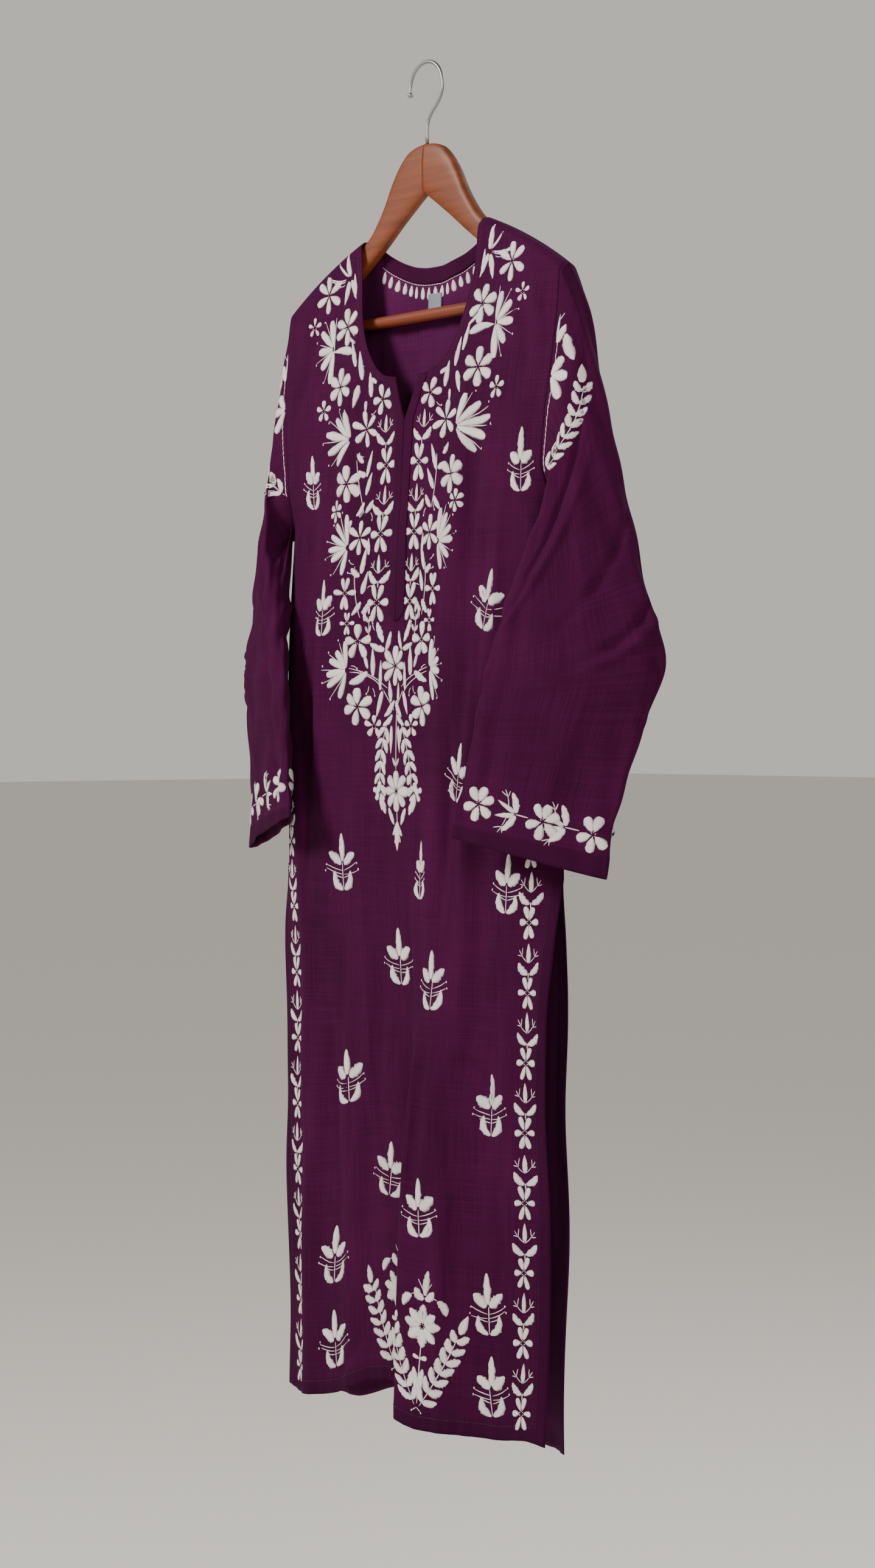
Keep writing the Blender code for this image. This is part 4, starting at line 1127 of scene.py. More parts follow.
@dataclass(frozen=True)
class FrontLayout:
    """Where the motifs lie on the front: places are flat ones, u then level."""

    butis: tuple[tuple[float, float], ...] = (
        (-0.150, -0.403), (0.172, -0.404), (0.131, -0.531), (-0.118, -0.531),
        (0.093, -0.693), (-0.089, -0.783), (0.158, -0.795),
        (-0.006, -0.875), (0.064, -0.889), (-0.087, -0.999), (0.143, -1.003),
        (-0.030, -1.099), (0.068, -1.103), (-0.113, -1.177), (0.141, -1.189),
        (-0.114, -1.261), (0.144, -1.265),
    )
    border_u: float = 0.1865
    border_drift: float = -0.010
    border_squeeze: float = 0.84
    border_top: float = -0.696
    border_step: float = 0.0655
    border_count: int = 10
    column_u: float = 0.0265
    column_top: float = -0.391
    column_step: float = 0.0670
    column_count: int = 3
    yoke_lean: float = 0.26
    chest_end: float = -0.7
    turned_from: float = 0.08
    turned_to: float = 0.14
    turned_by: float = 15.0

    def border(self) -> list[Stitch]:
        """The upright borders beside both slits."""
        parts = []
        for side in (-1, 1):
            for i in range(self.border_count):
                y = self.border_top - i * self.border_step
                u = side * (self.border_u + self.border_drift * i / self.border_count)
                unit_parts = moved(MOTIFS.link_chain(self.border_step), u, y,
                                   squeeze=self.border_squeeze)
                last = i == self.border_count - 1
                parts += unit_parts[: len(MOTIFS.six_petals())] if last else unit_parts
        return parts

    def bouquet(self) -> list[Stitch]:
        """The hem's bouquet: a flower over two leafy branches that meet in a V."""
        petals = (0, 42, 84, 128, 178, 228, 276, 318)
        parts = moved(MOTIFS.flower(petals, 0.0175, 0.0058, Shape.LEAF), 0, 0)
        parts += moved(MOTIFS.branch(0.086, 7, 0.0185, 0.0042, 0.035, 42), 0.0015, -0.078, 26)
        parts += moved(MOTIFS.branch(0.086, 7, 0.0185, 0.0042, -0.035, 42), -0.0015, -0.078, -26)
        parts.append(Stitch(Shape.STEM, 0, -0.076, 0, 0.056, 0.0010))
        for side in (-1, 1):
            parts.append(Stitch(Shape.PETAL, 0, -0.0310, 82 * side, 0.0085, 0.0028))
            parts.append(Stitch(Shape.LEAF, 0.001 * side, -0.062, 11 * side, 0.0230, 0.0040))
            parts.append(Stitch(Shape.LEAF, 0.0150 * side, 0.0280, 148 * side, 0.0175, 0.0044,
                                -0.12 * side))
            parts += MOTIFS.knotted(0.0150 * side, 0.0280, -62 * side, 0.0060)
            parts += MOTIFS.knotted(0, -0.078, 130 * side, 0.0070)
        parts += moved(self.pine(), 0, 0.0250)
        return parts

    def pine(self) -> list[Stitch]:
        """A pointed bud of three leaves and two pairs of short threads."""
        return [
            Stitch(Shape.LEAF, 0, 0.004, 0, 0.0250, 0.0046),
            Stitch(Shape.LEAF, -0.0008, 0, -46, 0.0150, 0.0048, -0.1),
            Stitch(Shape.LEAF, 0.0008, 0, 46, 0.0150, 0.0048, 0.1),
            Stitch(Shape.TWIG, 0, 0.006, -34, 0.0160, 0.0007),
            Stitch(Shape.TWIG, 0, 0.006, 34, 0.0160, 0.0007),
        ]

    def column(self) -> list[Stitch]:
        """The column beside the placket: flowers, buds with sprigs and tulip leaves."""
        m, parts = MOTIFS, []
        for i in range(self.column_count):
            y = self.column_top - i * self.column_step
            parts += moved(m.six_petals(), self.column_u, y, size=1.18)
            if i + 1 < self.column_count:
                parts += moved(m.bud(), self.column_u - 0.0005, y - 0.0385, size=0.95)
                parts += moved(m.tulip(), self.column_u - 0.0005, y - 0.0475)
        parts += moved(m.bud(), 0.0305, -0.3585, size=0.95)
        parts += moved(m.tulip(), 0.0290, -0.3700)
        return parts

    def yoke_half(self) -> list[Stitch]:
        """The left half of the yoke, from the shoulder to below the placket."""
        m = MOTIFS
        parts = moved(m.flower((20, 92, 164, 236, 308), 0.0125, 0.0046), 0.0365, -0.3255)
        parts += self.column()
        for turns, length, half, x, y in FLOWERS:
            parts += moved(m.flower(turns, length, half), x, y)
        for turns, lengths, half, x, y in FANS:
            parts += moved(m.fan(turns, lengths, half), x, y)
        parts += [Stitch(Shape.SPEAR, *row) for row in SPEARS]
        parts += [Stitch(Shape.LEAF, *row) for row in LEAVES]
        for x, y, turn, length, bend in STEMS:
            parts.append(Stitch(Shape.STEM, x, y, turn, length, 0.0008, bend))
        for x, y, turn in KNOTS:
            parts += m.knotted(x, y, turn, 0.0080, 0.12)
        parts += moved(m.branch(0.072, 6, 0.0165, 0.0034, -0.06, 30), 0.0110, -0.6400, 168)
        parts += moved(m.branch(0.024, 2, 0.0090, 0.0020, 0.03, 34), 0.0360, -0.5600, 4)
        return parts

    def leaned(self, stitches: Sequence[Stitch]) -> list[Stitch]:
        """The yoke as it hangs askew: wider on the right half, narrower on the left."""
        result = []
        for stitch in stitches:
            lean = self.yoke_lean * smooth_step(np.array((-0.33 - stitch.y) / 0.22))
            lean = float(lean * smooth_step(np.array((stitch.y + 0.735) / 0.11)))
            result.append(squeezed(stitch, 1.0 - lean if stitch.x > 0 else 1.0 + 0.8 * lean))
        return result

    def yoke(self) -> list[Stitch]:
        """The whole yoke: both halves and what lies on the centre line."""
        half = self.yoke_half()
        parts = moved(half, 0, 0) + moved(half, 0, 0, flip=True)
        parts += moved(MOTIFS.flower(FULL_FLOWER, 0.0165, 0.0046), 0.0, -0.5870)
        parts += moved(MOTIFS.flower(FULL_FLOWER, 0.0175, 0.0052), 0.0, -0.7080)
        parts.append(Stitch(Shape.STEM, 0, -0.690, 0, 0.080, 0.0008))
        parts.append(Stitch(Shape.SPEAR, 0, -0.7370, 180, 0.0280, 0.0044))
        parts.append(Stitch(Shape.TWIG, 0, -0.7250, 180, 0.0180, 0.0009))
        return self.leaned(parts)

    def skirt(self) -> list[Stitch]:
        """Scattered sprigs, borders and the hem's two bouquets."""
        parts = []
        for u, level in self.butis:
            chest = level > self.chest_end
            narrow = float(np.interp(u, *(CHEST_WIDTHS if chest else BUTI_WIDTHS)))
            turned = chest and self.turned_from < u < self.turned_to
            lean = self.turned_by if turned else 4 * math.sin(90 * u + 7 * level)
            parts += moved(MOTIFS.buti(), u, level + 0.002, turn=lean, squeeze=narrow)
        parts += moved(MOTIFS.buti(), 0.0375, -0.785, squeeze=0.32)
        parts += self.border()
        parts += moved(self.bouquet(), 0.0730, -1.2115, turn=6)
        parts += moved(self.bouquet(), -0.0175, -1.2175, turn=5)
        return parts


@dataclass
class Wiring:
    """Short ways to add and link shader nodes in one tree."""

    tree: bpy.types.NodeTree

    def add(self, kind: str, **settings: object) -> bpy.types.Node:
        """A node of a kind, with its plain properties set."""
        node = self.tree.nodes.new(kind)
        for key, value in settings.items():
            setattr(node, key, value)
        return node

    def feed(self, socket: bpy.types.NodeSocket, value: object) -> None:
        """Links another socket to this one, or sets its constant."""
        if isinstance(value, bpy.types.NodeSocket):
            self.tree.links.new(value, socket)
        else:
            socket.default_value = value

    def math(self, operation: str, *values: object) -> bpy.types.NodeSocket:
        """A math node fed with sockets or constants."""
        node = self.add("ShaderNodeMath", operation=operation)
        for socket, value in zip(node.inputs, values):
            self.feed(socket, value)
        return node.outputs[0]

    def scaled(self, vector: bpy.types.NodeSocket, scale: tuple[float, float, float]
               ) -> bpy.types.NodeSocket:
        """The vector times a constant on each axis."""
        node = self.add("ShaderNodeMapping")
        self.feed(node.inputs["Vector"], vector)
        node.inputs["Scale"].default_value = scale
        return node.outputs[0]

    def noise(self, vector: bpy.types.NodeSocket, scale: float, detail: float = 2.0,
              rough: float = 0.5) -> bpy.types.NodeSocket:
        """The value of a noise texture."""
        node = self.add("ShaderNodeTexNoise")
        self.feed(node.inputs["Vector"], vector)
        node.inputs["Scale"].default_value = scale
        node.inputs["Detail"].default_value = detail
        node.inputs["Roughness"].default_value = rough
        return node.outputs[0]

    def uv(self, name: str) -> bpy.types.NodeSocket:
        """The places of a UV map."""
        return self.add("ShaderNodeUVMap", uv_map=name).outputs[0]

    def attribute(self, name: str) -> bpy.types.NodeSocket:
        """A named number of the mesh."""
        return self.add("ShaderNodeAttribute", attribute_name=name).outputs["Fac"]

    def stretched(
        self, value: bpy.types.NodeSocket, low: float, high: float
    ) -> bpy.types.NodeSocket:
        """A value stretched so that low comes to 0 and high to 1."""
        ramp = self.add("ShaderNodeMapRange")
        self.feed(ramp.inputs["Value"], value)
        ramp.inputs["From Min"].default_value = low
        ramp.inputs["From Max"].default_value = high
        return ramp.outputs[0]

    def blend(self, share: object, one: object, two: object) -> bpy.types.NodeSocket:
        """A mix of two colours by a share."""
        node = self.add("ShaderNodeMix", data_type="RGBA")
        for socket, value in ((node.inputs[0], share), (node.inputs[6], one), (node.inputs[7], two)):
            self.feed(socket, value)
        return node.outputs[2]

    def bump(
        self, height: bpy.types.NodeSocket, distance: float, strength: float
    ) -> bpy.types.NodeSocket:
        """A bump normal from a height."""
        node = self.add("ShaderNodeBump")
        self.feed(node.inputs["Height"], height)
        node.inputs["Distance"].default_value = distance
        node.inputs["Strength"].default_value = strength
        return node.outputs[0]


def node_group(
    name: str, inputs: dict[str, float], outputs: Sequence[str]
) -> tuple[bpy.types.NodeTree, Wiring, bpy.types.Node, bpy.types.Node]:
    """A shader node group with float inputs, a vector input and float outputs.

    Args:
        name: The group's name.
        inputs: Named float inputs with their defaults.
        outputs: Names of the float outputs.

    Returns:
        The tree, its wiring, its input node and its output node.
    """
    tree = bpy.data.node_groups.new(name, "ShaderNodeTree")
    tree.interface.new_socket("Place", in_out="INPUT", socket_type="NodeSocketVector")
    for label, value in inputs.items():
        socket = tree.interface.new_socket(label, in_out="INPUT", socket_type="NodeSocketFloat")
        socket.default_value = value
    for label in outputs:
        tree.interface.new_socket(label, in_out="OUTPUT", socket_type="NodeSocketFloat")
    wiring = Wiring(tree)
    return tree, wiring, wiring.add("NodeGroupInput"), wiring.add("NodeGroupOutput")


def weave_group() -> bpy.types.NodeTree:
    """Plain weave over flat metres: thread relief, and a tone from slubs and slow unevenness."""
    tree, w, entry, leave = node_group("cotton_weave", {"Threads": 1400.0}, ("Height", "Tone"))
    place, threads = entry.outputs["Place"], entry.outputs["Threads"]
    split = w.add("ShaderNodeSeparateXYZ")
    w.feed(split.inputs[0], place)
    warp = w.math("SINE", w.math("MULTIPLY", split.outputs[0], w.math("MULTIPLY", threads, 6.2832)))
    weft = w.math("SINE", w.math("MULTIPLY", split.outputs[1], w.math("MULTIPLY", threads, 6.2832)))
    down = w.noise(w.scaled(place, (900.0, 14.0, 1.0)), 1.0, 2.0, 0.6)
    over = w.noise(w.scaled(place, (12.0, 700.0, 1.0)), 1.0, 2.0, 0.6)
    slow = w.noise(w.scaled(place, (9.0, 5.0, 1.0)), 1.0, 3.0, 0.55)
    slub = w.math("ADD", w.math("MULTIPLY", down, 0.55), w.math("MULTIPLY", over, 0.45))
    cross = w.math("MULTIPLY", w.math("ADD", warp, weft), 0.25)
    w.feed(leave.inputs["Height"], w.math("ADD", cross, w.math("MULTIPLY", slub, 1.6)))
    tone = w.math("ADD", w.math("MULTIPLY", slub, 0.6), w.math("MULTIPLY", slow, 0.4))
    w.feed(leave.inputs["Tone"], tone)
    return tree


def satin_group() -> bpy.types.NodeTree:
    """Satin stitch over thread numbers: one round ridge for each thread, a little uneven, and a
    painted-shade mask for the grooves between them.
    """
    tree, w, entry, leave = node_group("satin_stitch", {"Wander": 0.5}, ("Height", "Groove_Shade"))
    place = entry.outputs["Place"]
    split = w.add("ShaderNodeSeparateXYZ")
    w.feed(split.inputs[0], place)
    drift = w.noise(w.scaled(place, (0.35, 0.5, 1.0)), 1.0, 2.0)
    number = w.math("ADD", split.outputs[0], w.math("MULTIPLY", drift, entry.outputs["Wander"]))
    ridge = w.math("ABSOLUTE", w.math("SINE", w.math("MULTIPLY", number, math.pi)))
    w.feed(leave.inputs["Height"], w.math("POWER", ridge, 0.6))
    # Painted shade: 1 in the grooves between threads, 0 on the ridges.
    w.feed(leave.inputs["Groove_Shade"], w.math("POWER", w.math("SUBTRACT", 1.0, ridge), 3.0))
    return tree


def grain_group() -> bpy.types.NodeTree:
    """Wood grain over metres along and across: fine pores and broad bands."""
    tree, w, entry, leave = node_group("wood_grain", {"Fineness": 1.0}, ("Band", "Pore"))
    place = entry.outputs["Place"]
    band = w.noise(w.scaled(place, (7.0, 130.0, 130.0)), 1.0, 4.0, 0.6)
    pore = w.noise(w.scaled(place, (60.0, 1500.0, 1500.0)), 1.0, 2.0, 0.5)
    w.feed(leave.inputs["Band"], w.math("MULTIPLY", band, entry.outputs["Fineness"]))
    w.feed(leave.inputs["Pore"], pore)
    return tree


GROUPS: dict[str, bpy.types.NodeTree] = {}


@dataclass(frozen=True)
class Finish:
    """What all finishes share: a name and its material's bare start."""

    name: str

    def start(self) -> tuple[bpy.types.Material, Wiring, bpy.types.Node]:
        """A new material with its wiring and its shader."""
        material = bpy.data.materials.new(self.name)
        material.use_nodes = True
        wiring = Wiring(material.node_tree)
        return material, wiring, material.node_tree.nodes["Principled BSDF"]

    @staticmethod
    def group(wiring: Wiring, name: str, place: bpy.types.NodeSocket) -> bpy.types.Node:
        """A shared group placed in a material and fed with its coordinates."""
        node = wiring.add("ShaderNodeGroup", node_tree=GROUPS[name])
        wiring.feed(node.inputs["Place"], place)
        return node


@dataclass(frozen=True)
class CottonFinish(Finish):
    """Plain-woven cotton: two tones over the weave, deeper where the cloth is doubled."""

    light: Colour
    dark: Colour
    double: Colour
    roughness: float = 0.85
    sheen: float = 0.035
    sheen_roughness: float = 0.4
    sheen_tint: Colour = (0.80, 0.35, 0.72)
    specular: float = 0.06
    darkest: float = 0.34
    lightest: float = 0.66

    def build(self) -> bpy.types.Material:
        """Makes the material."""
        material, w, shader = self.start()
        flat = w.uv("flat")
        weave = self.group(w, "cotton_weave", flat)
        share = w.stretched(weave.outputs["Tone"], self.darkest, self.lightest)
        single = w.blend(share, (*self.dark, 1.0), (*self.light, 1.0))
        mask = w.attribute("double")
        colour = w.blend(w.math("MULTIPLY", mask, 0.7), single, (*self.double, 1.0))
        w.feed(shader.inputs["Base Color"], colour)
        w.feed(shader.inputs["Normal"], w.bump(weave.outputs["Height"], 0.00012, 0.6))
        shader.inputs["Roughness"].default_value = self.roughness
        shader.inputs["Sheen Weight"].default_value = self.sheen
        shader.inputs["Sheen Roughness"].default_value = self.sheen_roughness
        shader.inputs["Sheen Tint"].default_value = (*self.sheen_tint, 1.0)
        shader.inputs["Specular IOR Level"].default_value = self.specular
        return material


@dataclass(frozen=True)
class ThreadFinish(Finish):
    """Satin-stitched thread with painted shade: its colour darkens towards its shade colour at each
    stitch's rim and in the grooves between threads, and a little at random.
    """

    light: Colour
    shade_and_tone: Colour
    roughness: float = 0.6
    sheen: float = 0.15
    specular: float = 0.3

    def build(self) -> bpy.types.Material:
        """Makes the material."""
        material, w, shader = self.start()
        thread = w.uv("thread")
        satin = self.group(w, "satin_stitch", thread)
        rim = w.attribute("rim")
        tone = w.attribute("tone")
        # Painted shade: the rim mask and the grooves between threads darken the thread towards its
        # shade colour; tone adds a small random darkening.
        shade = w.math("ADD", w.math("MULTIPLY", rim, 0.55),
                       w.math("MULTIPLY", satin.outputs["Groove_Shade"], 0.80))
        shade = w.math("ADD", shade, w.math("MULTIPLY", tone, 0.16))
        colour = w.blend(w.math("MINIMUM", shade, 1.0), (*self.light, 1.0), (*self.shade_and_tone, 1.0))
        w.feed(shader.inputs["Base Color"], colour)
        w.feed(shader.inputs["Normal"], w.bump(satin.outputs["Height"], 0.00022, 0.8))
        shader.inputs["Roughness"].default_value = self.roughness
        shader.inputs["Sheen Weight"].default_value = self.sheen
        shader.inputs["Specular IOR Level"].default_value = self.specular
        return material


@dataclass(frozen=True)
class WoodFinish(Finish):
    """Satin-varnished hardwood with its grain along the piece."""

    light: Colour
    dark: Colour
    darkest: float = 0.3
    lightest: float = 0.72
    pore_level: float = 0.62
    pore_share: float = 0.35
    roughness: float = 0.55
    specular: float = 0.35
    coat: float = 0.10
    coat_roughness: float = 0.4

    def build(self) -> bpy.types.Material:
        """Makes the material."""
        material, w, shader = self.start()
        flat = w.uv("flat")
        grain = self.group(w, "wood_grain", flat)
        share = w.stretched(grain.outputs["Band"], self.darkest, self.lightest)
        colour = w.blend(share, (*self.dark, 1.0), (*self.light, 1.0))
        pores = w.math("GREATER_THAN", grain.outputs["Pore"], self.pore_level)
        colour = w.blend(w.math("MULTIPLY", pores, self.pore_share), colour, (*self.dark, 1.0))
        w.feed(shader.inputs["Base Color"], colour)
        w.feed(shader.inputs["Normal"], w.bump(grain.outputs["Pore"], 0.00008, 0.4))
        shader.inputs["Roughness"].default_value = self.roughness
        shader.inputs["Specular IOR Level"].default_value = self.specular
        shader.inputs["Coat Weight"].default_value = self.coat
        shader.inputs["Coat Roughness"].default_value = self.coat_roughness
        return material


@dataclass(frozen=True)
class SteelFinish(Finish):
    """Drawn steel wire, faintly brushed along its length."""

    colour: Colour
    roughness: float = 0.42

    def build(self) -> bpy.types.Material:
        """Makes the material."""
        material, w, shader = self.start()
        flat = w.uv("flat")
        streak = w.noise(w.scaled(flat, (3.0, 400.0, 1.0)), 1.0, 1.0)
        tone = w.math("MULTIPLY", streak, 0.22)
        colour = w.blend(tone, (*self.colour, 1.0), tuple(0.6 * c for c in self.colour) + (1.0,))
        w.feed(shader.inputs["Base Color"], colour)
        shader.inputs["Roughness"].default_value = self.roughness
        shader.inputs["Metallic"].default_value = 1.0
        return material


@dataclass(frozen=True)
class TapeFinish(Finish):
    """Woven label tape: a fine twill, blank."""

    light: Colour
    dark: Colour

    def build(self) -> bpy.types.Material:
        """Makes the material."""
        material, w, shader = self.start()
        flat = w.uv("flat")
        weave = self.group(w, "cotton_weave", flat)
        colour = w.blend(weave.outputs["Tone"], (*self.dark, 1.0), (*self.light, 1.0))
        w.feed(shader.inputs["Base Color"], colour)
        w.feed(shader.inputs["Normal"], w.bump(weave.outputs["Height"], 0.0001, 0.6))
        shader.inputs["Roughness"].default_value = 0.55
        shader.inputs["Sheen Weight"].default_value = 0.2
        return material


@dataclass
class Palette:
    """Every material of the garment and its hanger."""

    plum: bpy.types.Material
    inside: bpy.types.Material
    band: bpy.types.Material
    white: bpy.types.Material
    topstitch: bpy.types.Material
    label: bpy.types.Material
    wood: bpy.types.Material
    bar: bpy.types.Material
    steel: bpy.types.Material


def make_palette() -> Palette:
    """Builds the shared groups, then the materials that use them."""
    GROUPS["cotton_weave"] = weave_group()
    GROUPS["satin_stitch"] = satin_group()
    GROUPS["wood_grain"] = grain_group()
    return Palette(
        plum=CottonFinish("plum_cotton", (0.068, 0.0042, 0.043), (0.026, 0.0013, 0.017),
                          (0.030, 0.0016, 0.020)).build(),
        inside=CottonFinish("plum_inside", (0.098, 0.0100, 0.068), (0.050, 0.0045, 0.036),
                            (0.046, 0.0038, 0.032)).build(),
        band=CottonFinish("plum_band", (0.058, 0.0036, 0.037), (0.026, 0.0013, 0.017),
                          (0.032, 0.0018, 0.021)).build(),
        # Each thread's second colour is its painted shade, at stitch rims and in the grooves between
        # threads.
        white=ThreadFinish("white_thread", (0.92, 0.88, 0.84), (0.22, 0.15, 0.18)).build(),
        topstitch=ThreadFinish("plum_thread", (0.048, 0.006, 0.034), (0.018, 0.002, 0.013)).build(),
        label=TapeFinish("label_weave", (0.22, 0.235, 0.29), (0.14, 0.15, 0.19)).build(),
        wood=WoodFinish("varnished_wood", (0.235, 0.056, 0.0125), (0.125, 0.026, 0.0060)).build(),
        bar=WoodFinish("bar_wood", (0.240, 0.050, 0.0130), (0.130, 0.024, 0.0062)).build(),
        steel=SteelFinish("hook_steel", (0.33, 0.33, 0.33)).build(),
    )


@dataclass
class Body:
    """The front and back panels with their bands, label and topstitching."""

    palette: Palette
    rows_above: int = 74
    rows_below: int = 168
    column_step: float = 0.0028
    placket_width: float = 0.0125
    placket_taper: float = 0.012
    band_thickness: float = 0.0009
    facing_half: float = 0.0740
    facing_width: float = 0.015
    facing_gap: float = 0.0005
    label_half: float = 0.009
    label_length: float = 0.0215
    label_drop: float = 0.0109
    stitch_step: float = 0.0034
    stitch_length: float = 0.0026
    stitch_half: float = 0.00030
    cut_width: float = 0.434
    placket_lift: float = 0.0001
    placket_edge: float = 0.0003
    facing_below: float = 0.0008
    label_curl: float = 0.0010
    label_gap: float = 0.0003
    hem_line_half: float = 0.189
    line_inset: float = 0.0010
    collar_inset: float = 0.0050
    scallop_half: float = 0.0780
    scallop_line: float = 0.0020
    scallop_drop: float = 0.0038
    scallop_pairs: int = 8
    scallop_step: float = 0.0092
    back_rows: int = 7
    back_top: float = -0.330
    back_step: float = 0.132
    front: Drape = field(init=False)
    back: Drape = field(init=False)

    def __post_init__(self) -> None:
        """Hangs both panels."""
        self.front, self.back = FRONT.drape(), BACK.drape()

    def columns(self) -> Array:
        """Places across at the shoulder, close together beside the steep neck."""
        corners = [point.u for point in NECKLINE] + [CUT.shoulder_tip]
        runs = [
            np.linspace(a, b, math.ceil((b - a) / self.column_step), endpoint=False)
            for a, b in zip(corners, corners[1:])
        ]
        half = np.concatenate([*runs, [CUT.shoulder_tip]])
        return np.concatenate([-half[:0:-1], half])

    def grid(self, panel: Panel) -> tuple[Array, Array]:
        """Flat places of a panel's mesh: level rows below the underarm, shared ones above."""
        across = self.columns()
        top = panel.top_edge(across)
        share = np.linspace(0.0, 1.0, self.rows_above) ** 1.35
        above = top + (CUT.underarm - top) * share[:, None]
        down = np.linspace(0.0, 1.0, self.rows_below)[1:]
        tail = panel.hem + CUT.hem_depth
        below = CUT.underarm + (panel.hem - CUT.underarm) * down
        below[np.argmin(np.abs(below - tail))] = tail
        level = np.concatenate([above, below[:, None] + np.zeros(len(across))])
        width = smooth_column(SECTIONS, "half_width", level)
        return across / CUT.shoulder_tip * width, level

    def make_panel(self, name: str, panel: Panel, drape: Drape) -> bpy.types.Object:
        """A panel as a thin wall, its inner face another tone."""
        u, level = self.grid(panel)
        outer = drape.place(u, level)
        inner = drape.place(u, level, -CUT.cloth)
        maker = MeshMaker(name, [self.palette.plum, self.palette.inside], "plum_cotton")
        masks = {"double": panel.double(u, level)}
        return maker.wall(outer, inner, np.stack([u, level], -1), masks=masks)

    def strip(self, name: str, drape: Drape, u: Array, level: Array, lift: float, slot: str,
              material: bpy.types.Material, edge: float = 0.0) -> bpy.types.Object:
        """A strip that lies on a panel, its long edges rounded down by edge."""
        across = np.linspace(-1, 1, u.shape[1])
        crown = self.band_thickness - edge * np.abs(across) ** 6
        outer = drape.place(u, level, lift + crown)
        inner = drape.place(u, level, lift)
        maker = MeshMaker(name, [material], slot)
        masks = {"double": np.full(u.shape, 0.6)}
        return maker.wall(outer, inner, np.stack([u, level], -1), masks=masks)

    def make_placket(self, name: str, side: int) -> bpy.types.Object:
        """Half of the placket, from the neckline down the slit to its slanted point."""
        level = np.linspace(CUT.slit_level - 0.0005, CUT.placket_point, 90)
        open_half = CUT.slit_half * np.clip(
            (level - CUT.slit_point) / (CUT.slit_level - CUT.slit_point), 0.0, 1.0
        )
        edge = open_half + CUT.seam_gap / 2
        taper = np.clip((level - CUT.placket_point + 0.003) / self.placket_taper, 0.0, 1.0)
        share = np.linspace(0.0, 1.0, 9)
        u = side * (edge[:, None] + self.placket_width * taper[:, None] * share)
        levels = level[:, None] + np.zeros(len(share))
        return self.strip(name, self.front, u, levels, self.placket_lift, "plum_cotton",
                          self.palette.band, self.placket_edge)

    def make_facing(self) -> bpy.types.Object:
        """The band inside the back neckline."""
        u = np.linspace(-self.facing_half, self.facing_half, 81)
        share = np.linspace(0.0, 1.0, 9)
        level = back_neckline(u)[None] - self.facing_below - self.facing_width * share[:, None]
        lift = -(CUT.cloth + self.facing_gap + self.band_thickness)
        across = u[None] + np.zeros_like(level)
        return self.strip("facing_band", self.back, across, level, lift, "plum_cotton",
                          self.palette.band)

    def make_label(self) -> bpy.types.Object:
        """The blank woven label below the facing."""
        u = np.linspace(-self.label_half, self.label_half, 11)
        top = CUT.back_neck - self.facing_width - self.label_drop
        level = np.linspace(top, top - self.label_length, 17)[:, None] + np.zeros(len(u))
        curl = self.label_curl * np.linspace(0, 1, 17)[:, None] ** 2
        across = u[None] + np.zeros_like(level)
        maker = MeshMaker("label_tape", [self.palette.label], "label_weave")
        base = -(CUT.cloth + self.label_gap)
        outer = self.back.place(across, level, base - curl)
        inner = self.back.place(across, level, base - curl - self.band_thickness)
        return maker.wall(outer, inner, np.stack([across, level], -1))

    def run_stitches(self, path: Array) -> list[Stitch]:
        """Running stitches along a flat path, one each step, with gaps between."""
        leg = np.hypot(*np.diff(path, axis=0).T)
        walk = np.concatenate([[0.0], np.cumsum(leg)])
        at = np.arange(0.0, walk[-1] - self.stitch_step, self.stitch_step)
        x, y = np.interp(at, walk, path[:, 0]), np.interp(at, walk, path[:, 1])
        ahead = at + 0.002
        turn = np.degrees(np.arctan2(np.interp(ahead, walk, path[:, 0]) - x,
                                     np.interp(ahead, walk, path[:, 1]) - y))
        return [
            Stitch(Shape.TWIG, float(a), float(b), float(c), self.stitch_length, self.stitch_half)
            for a, b, c in zip(x, y, turn)
        ]

    def topstitch(self, panel: Panel) -> list[Stitch]:
        """Stitch lines of the bottom hem and the two vent hems."""
        parts = []
        tail = panel.hem + CUT.hem_depth - self.line_inset
        u = np.linspace(-self.hem_line_half, self.hem_line_half, 60)
        parts += self.run_stitches(np.stack([u, np.full(60, tail)], 1))
        level = np.linspace(CUT.slit_top + 0.006, tail, 80)
        width = smooth_column(SECTIONS, "half_width", level) - CUT.vent_depth + self.line_inset
        for side in (-1, 1):
            parts += self.run_stitches(np.stack([side * width, level], 1))
        return parts

    def collar_stitch(self) -> list[Stitch]:
        """Stitch line that follows the front neckline, and the placket's outline."""
        parts = []
        for side in (-1, 1):
            u = np.linspace(CUT.slit_half + 0.004, CUT.neck_half - 0.001, 80)
            edge = front_neckline(u)
            way = np.stack([np.gradient(u), np.gradient(edge)], 1)
            way = way / np.linalg.norm(way, axis=1, keepdims=True)
            off = self.collar_inset * way
            path = np.stack([side * (u + off[:, 1]), edge - off[:, 0]], 1)
            parts += self.run_stitches(path)
        return parts

    def scallop(self) -> list[Stitch]:
        """The hanging petals below the back neck's band, with a chain line above them."""
        parts = []
        u = np.linspace(-self.scallop_half, self.scallop_half, 80)
        line = back_neckline(u) - self.facing_width - self.scallop_line
        chain = self.run_stitches(np.stack([u, line], 1))
        parts += [s._replace(length=0.0032, half=0.0007) for s in chain]
        for i in range(-self.scallop_pairs, self.scallop_pairs + 1):
            at = i * self.scallop_step
            slope = (back_neckline(np.array(at + 0.001)) - back_neckline(np.array(at - 0.001)))
            turn = 180.0 - math.degrees(math.atan(float(slope) / 0.002)) * 0.6
            y = float(back_neckline(np.array(at))) - self.facing_width - self.scallop_drop
            parts.append(Stitch(Shape.PETAL, at, y, turn, 0.0120, 0.0036))
        return parts

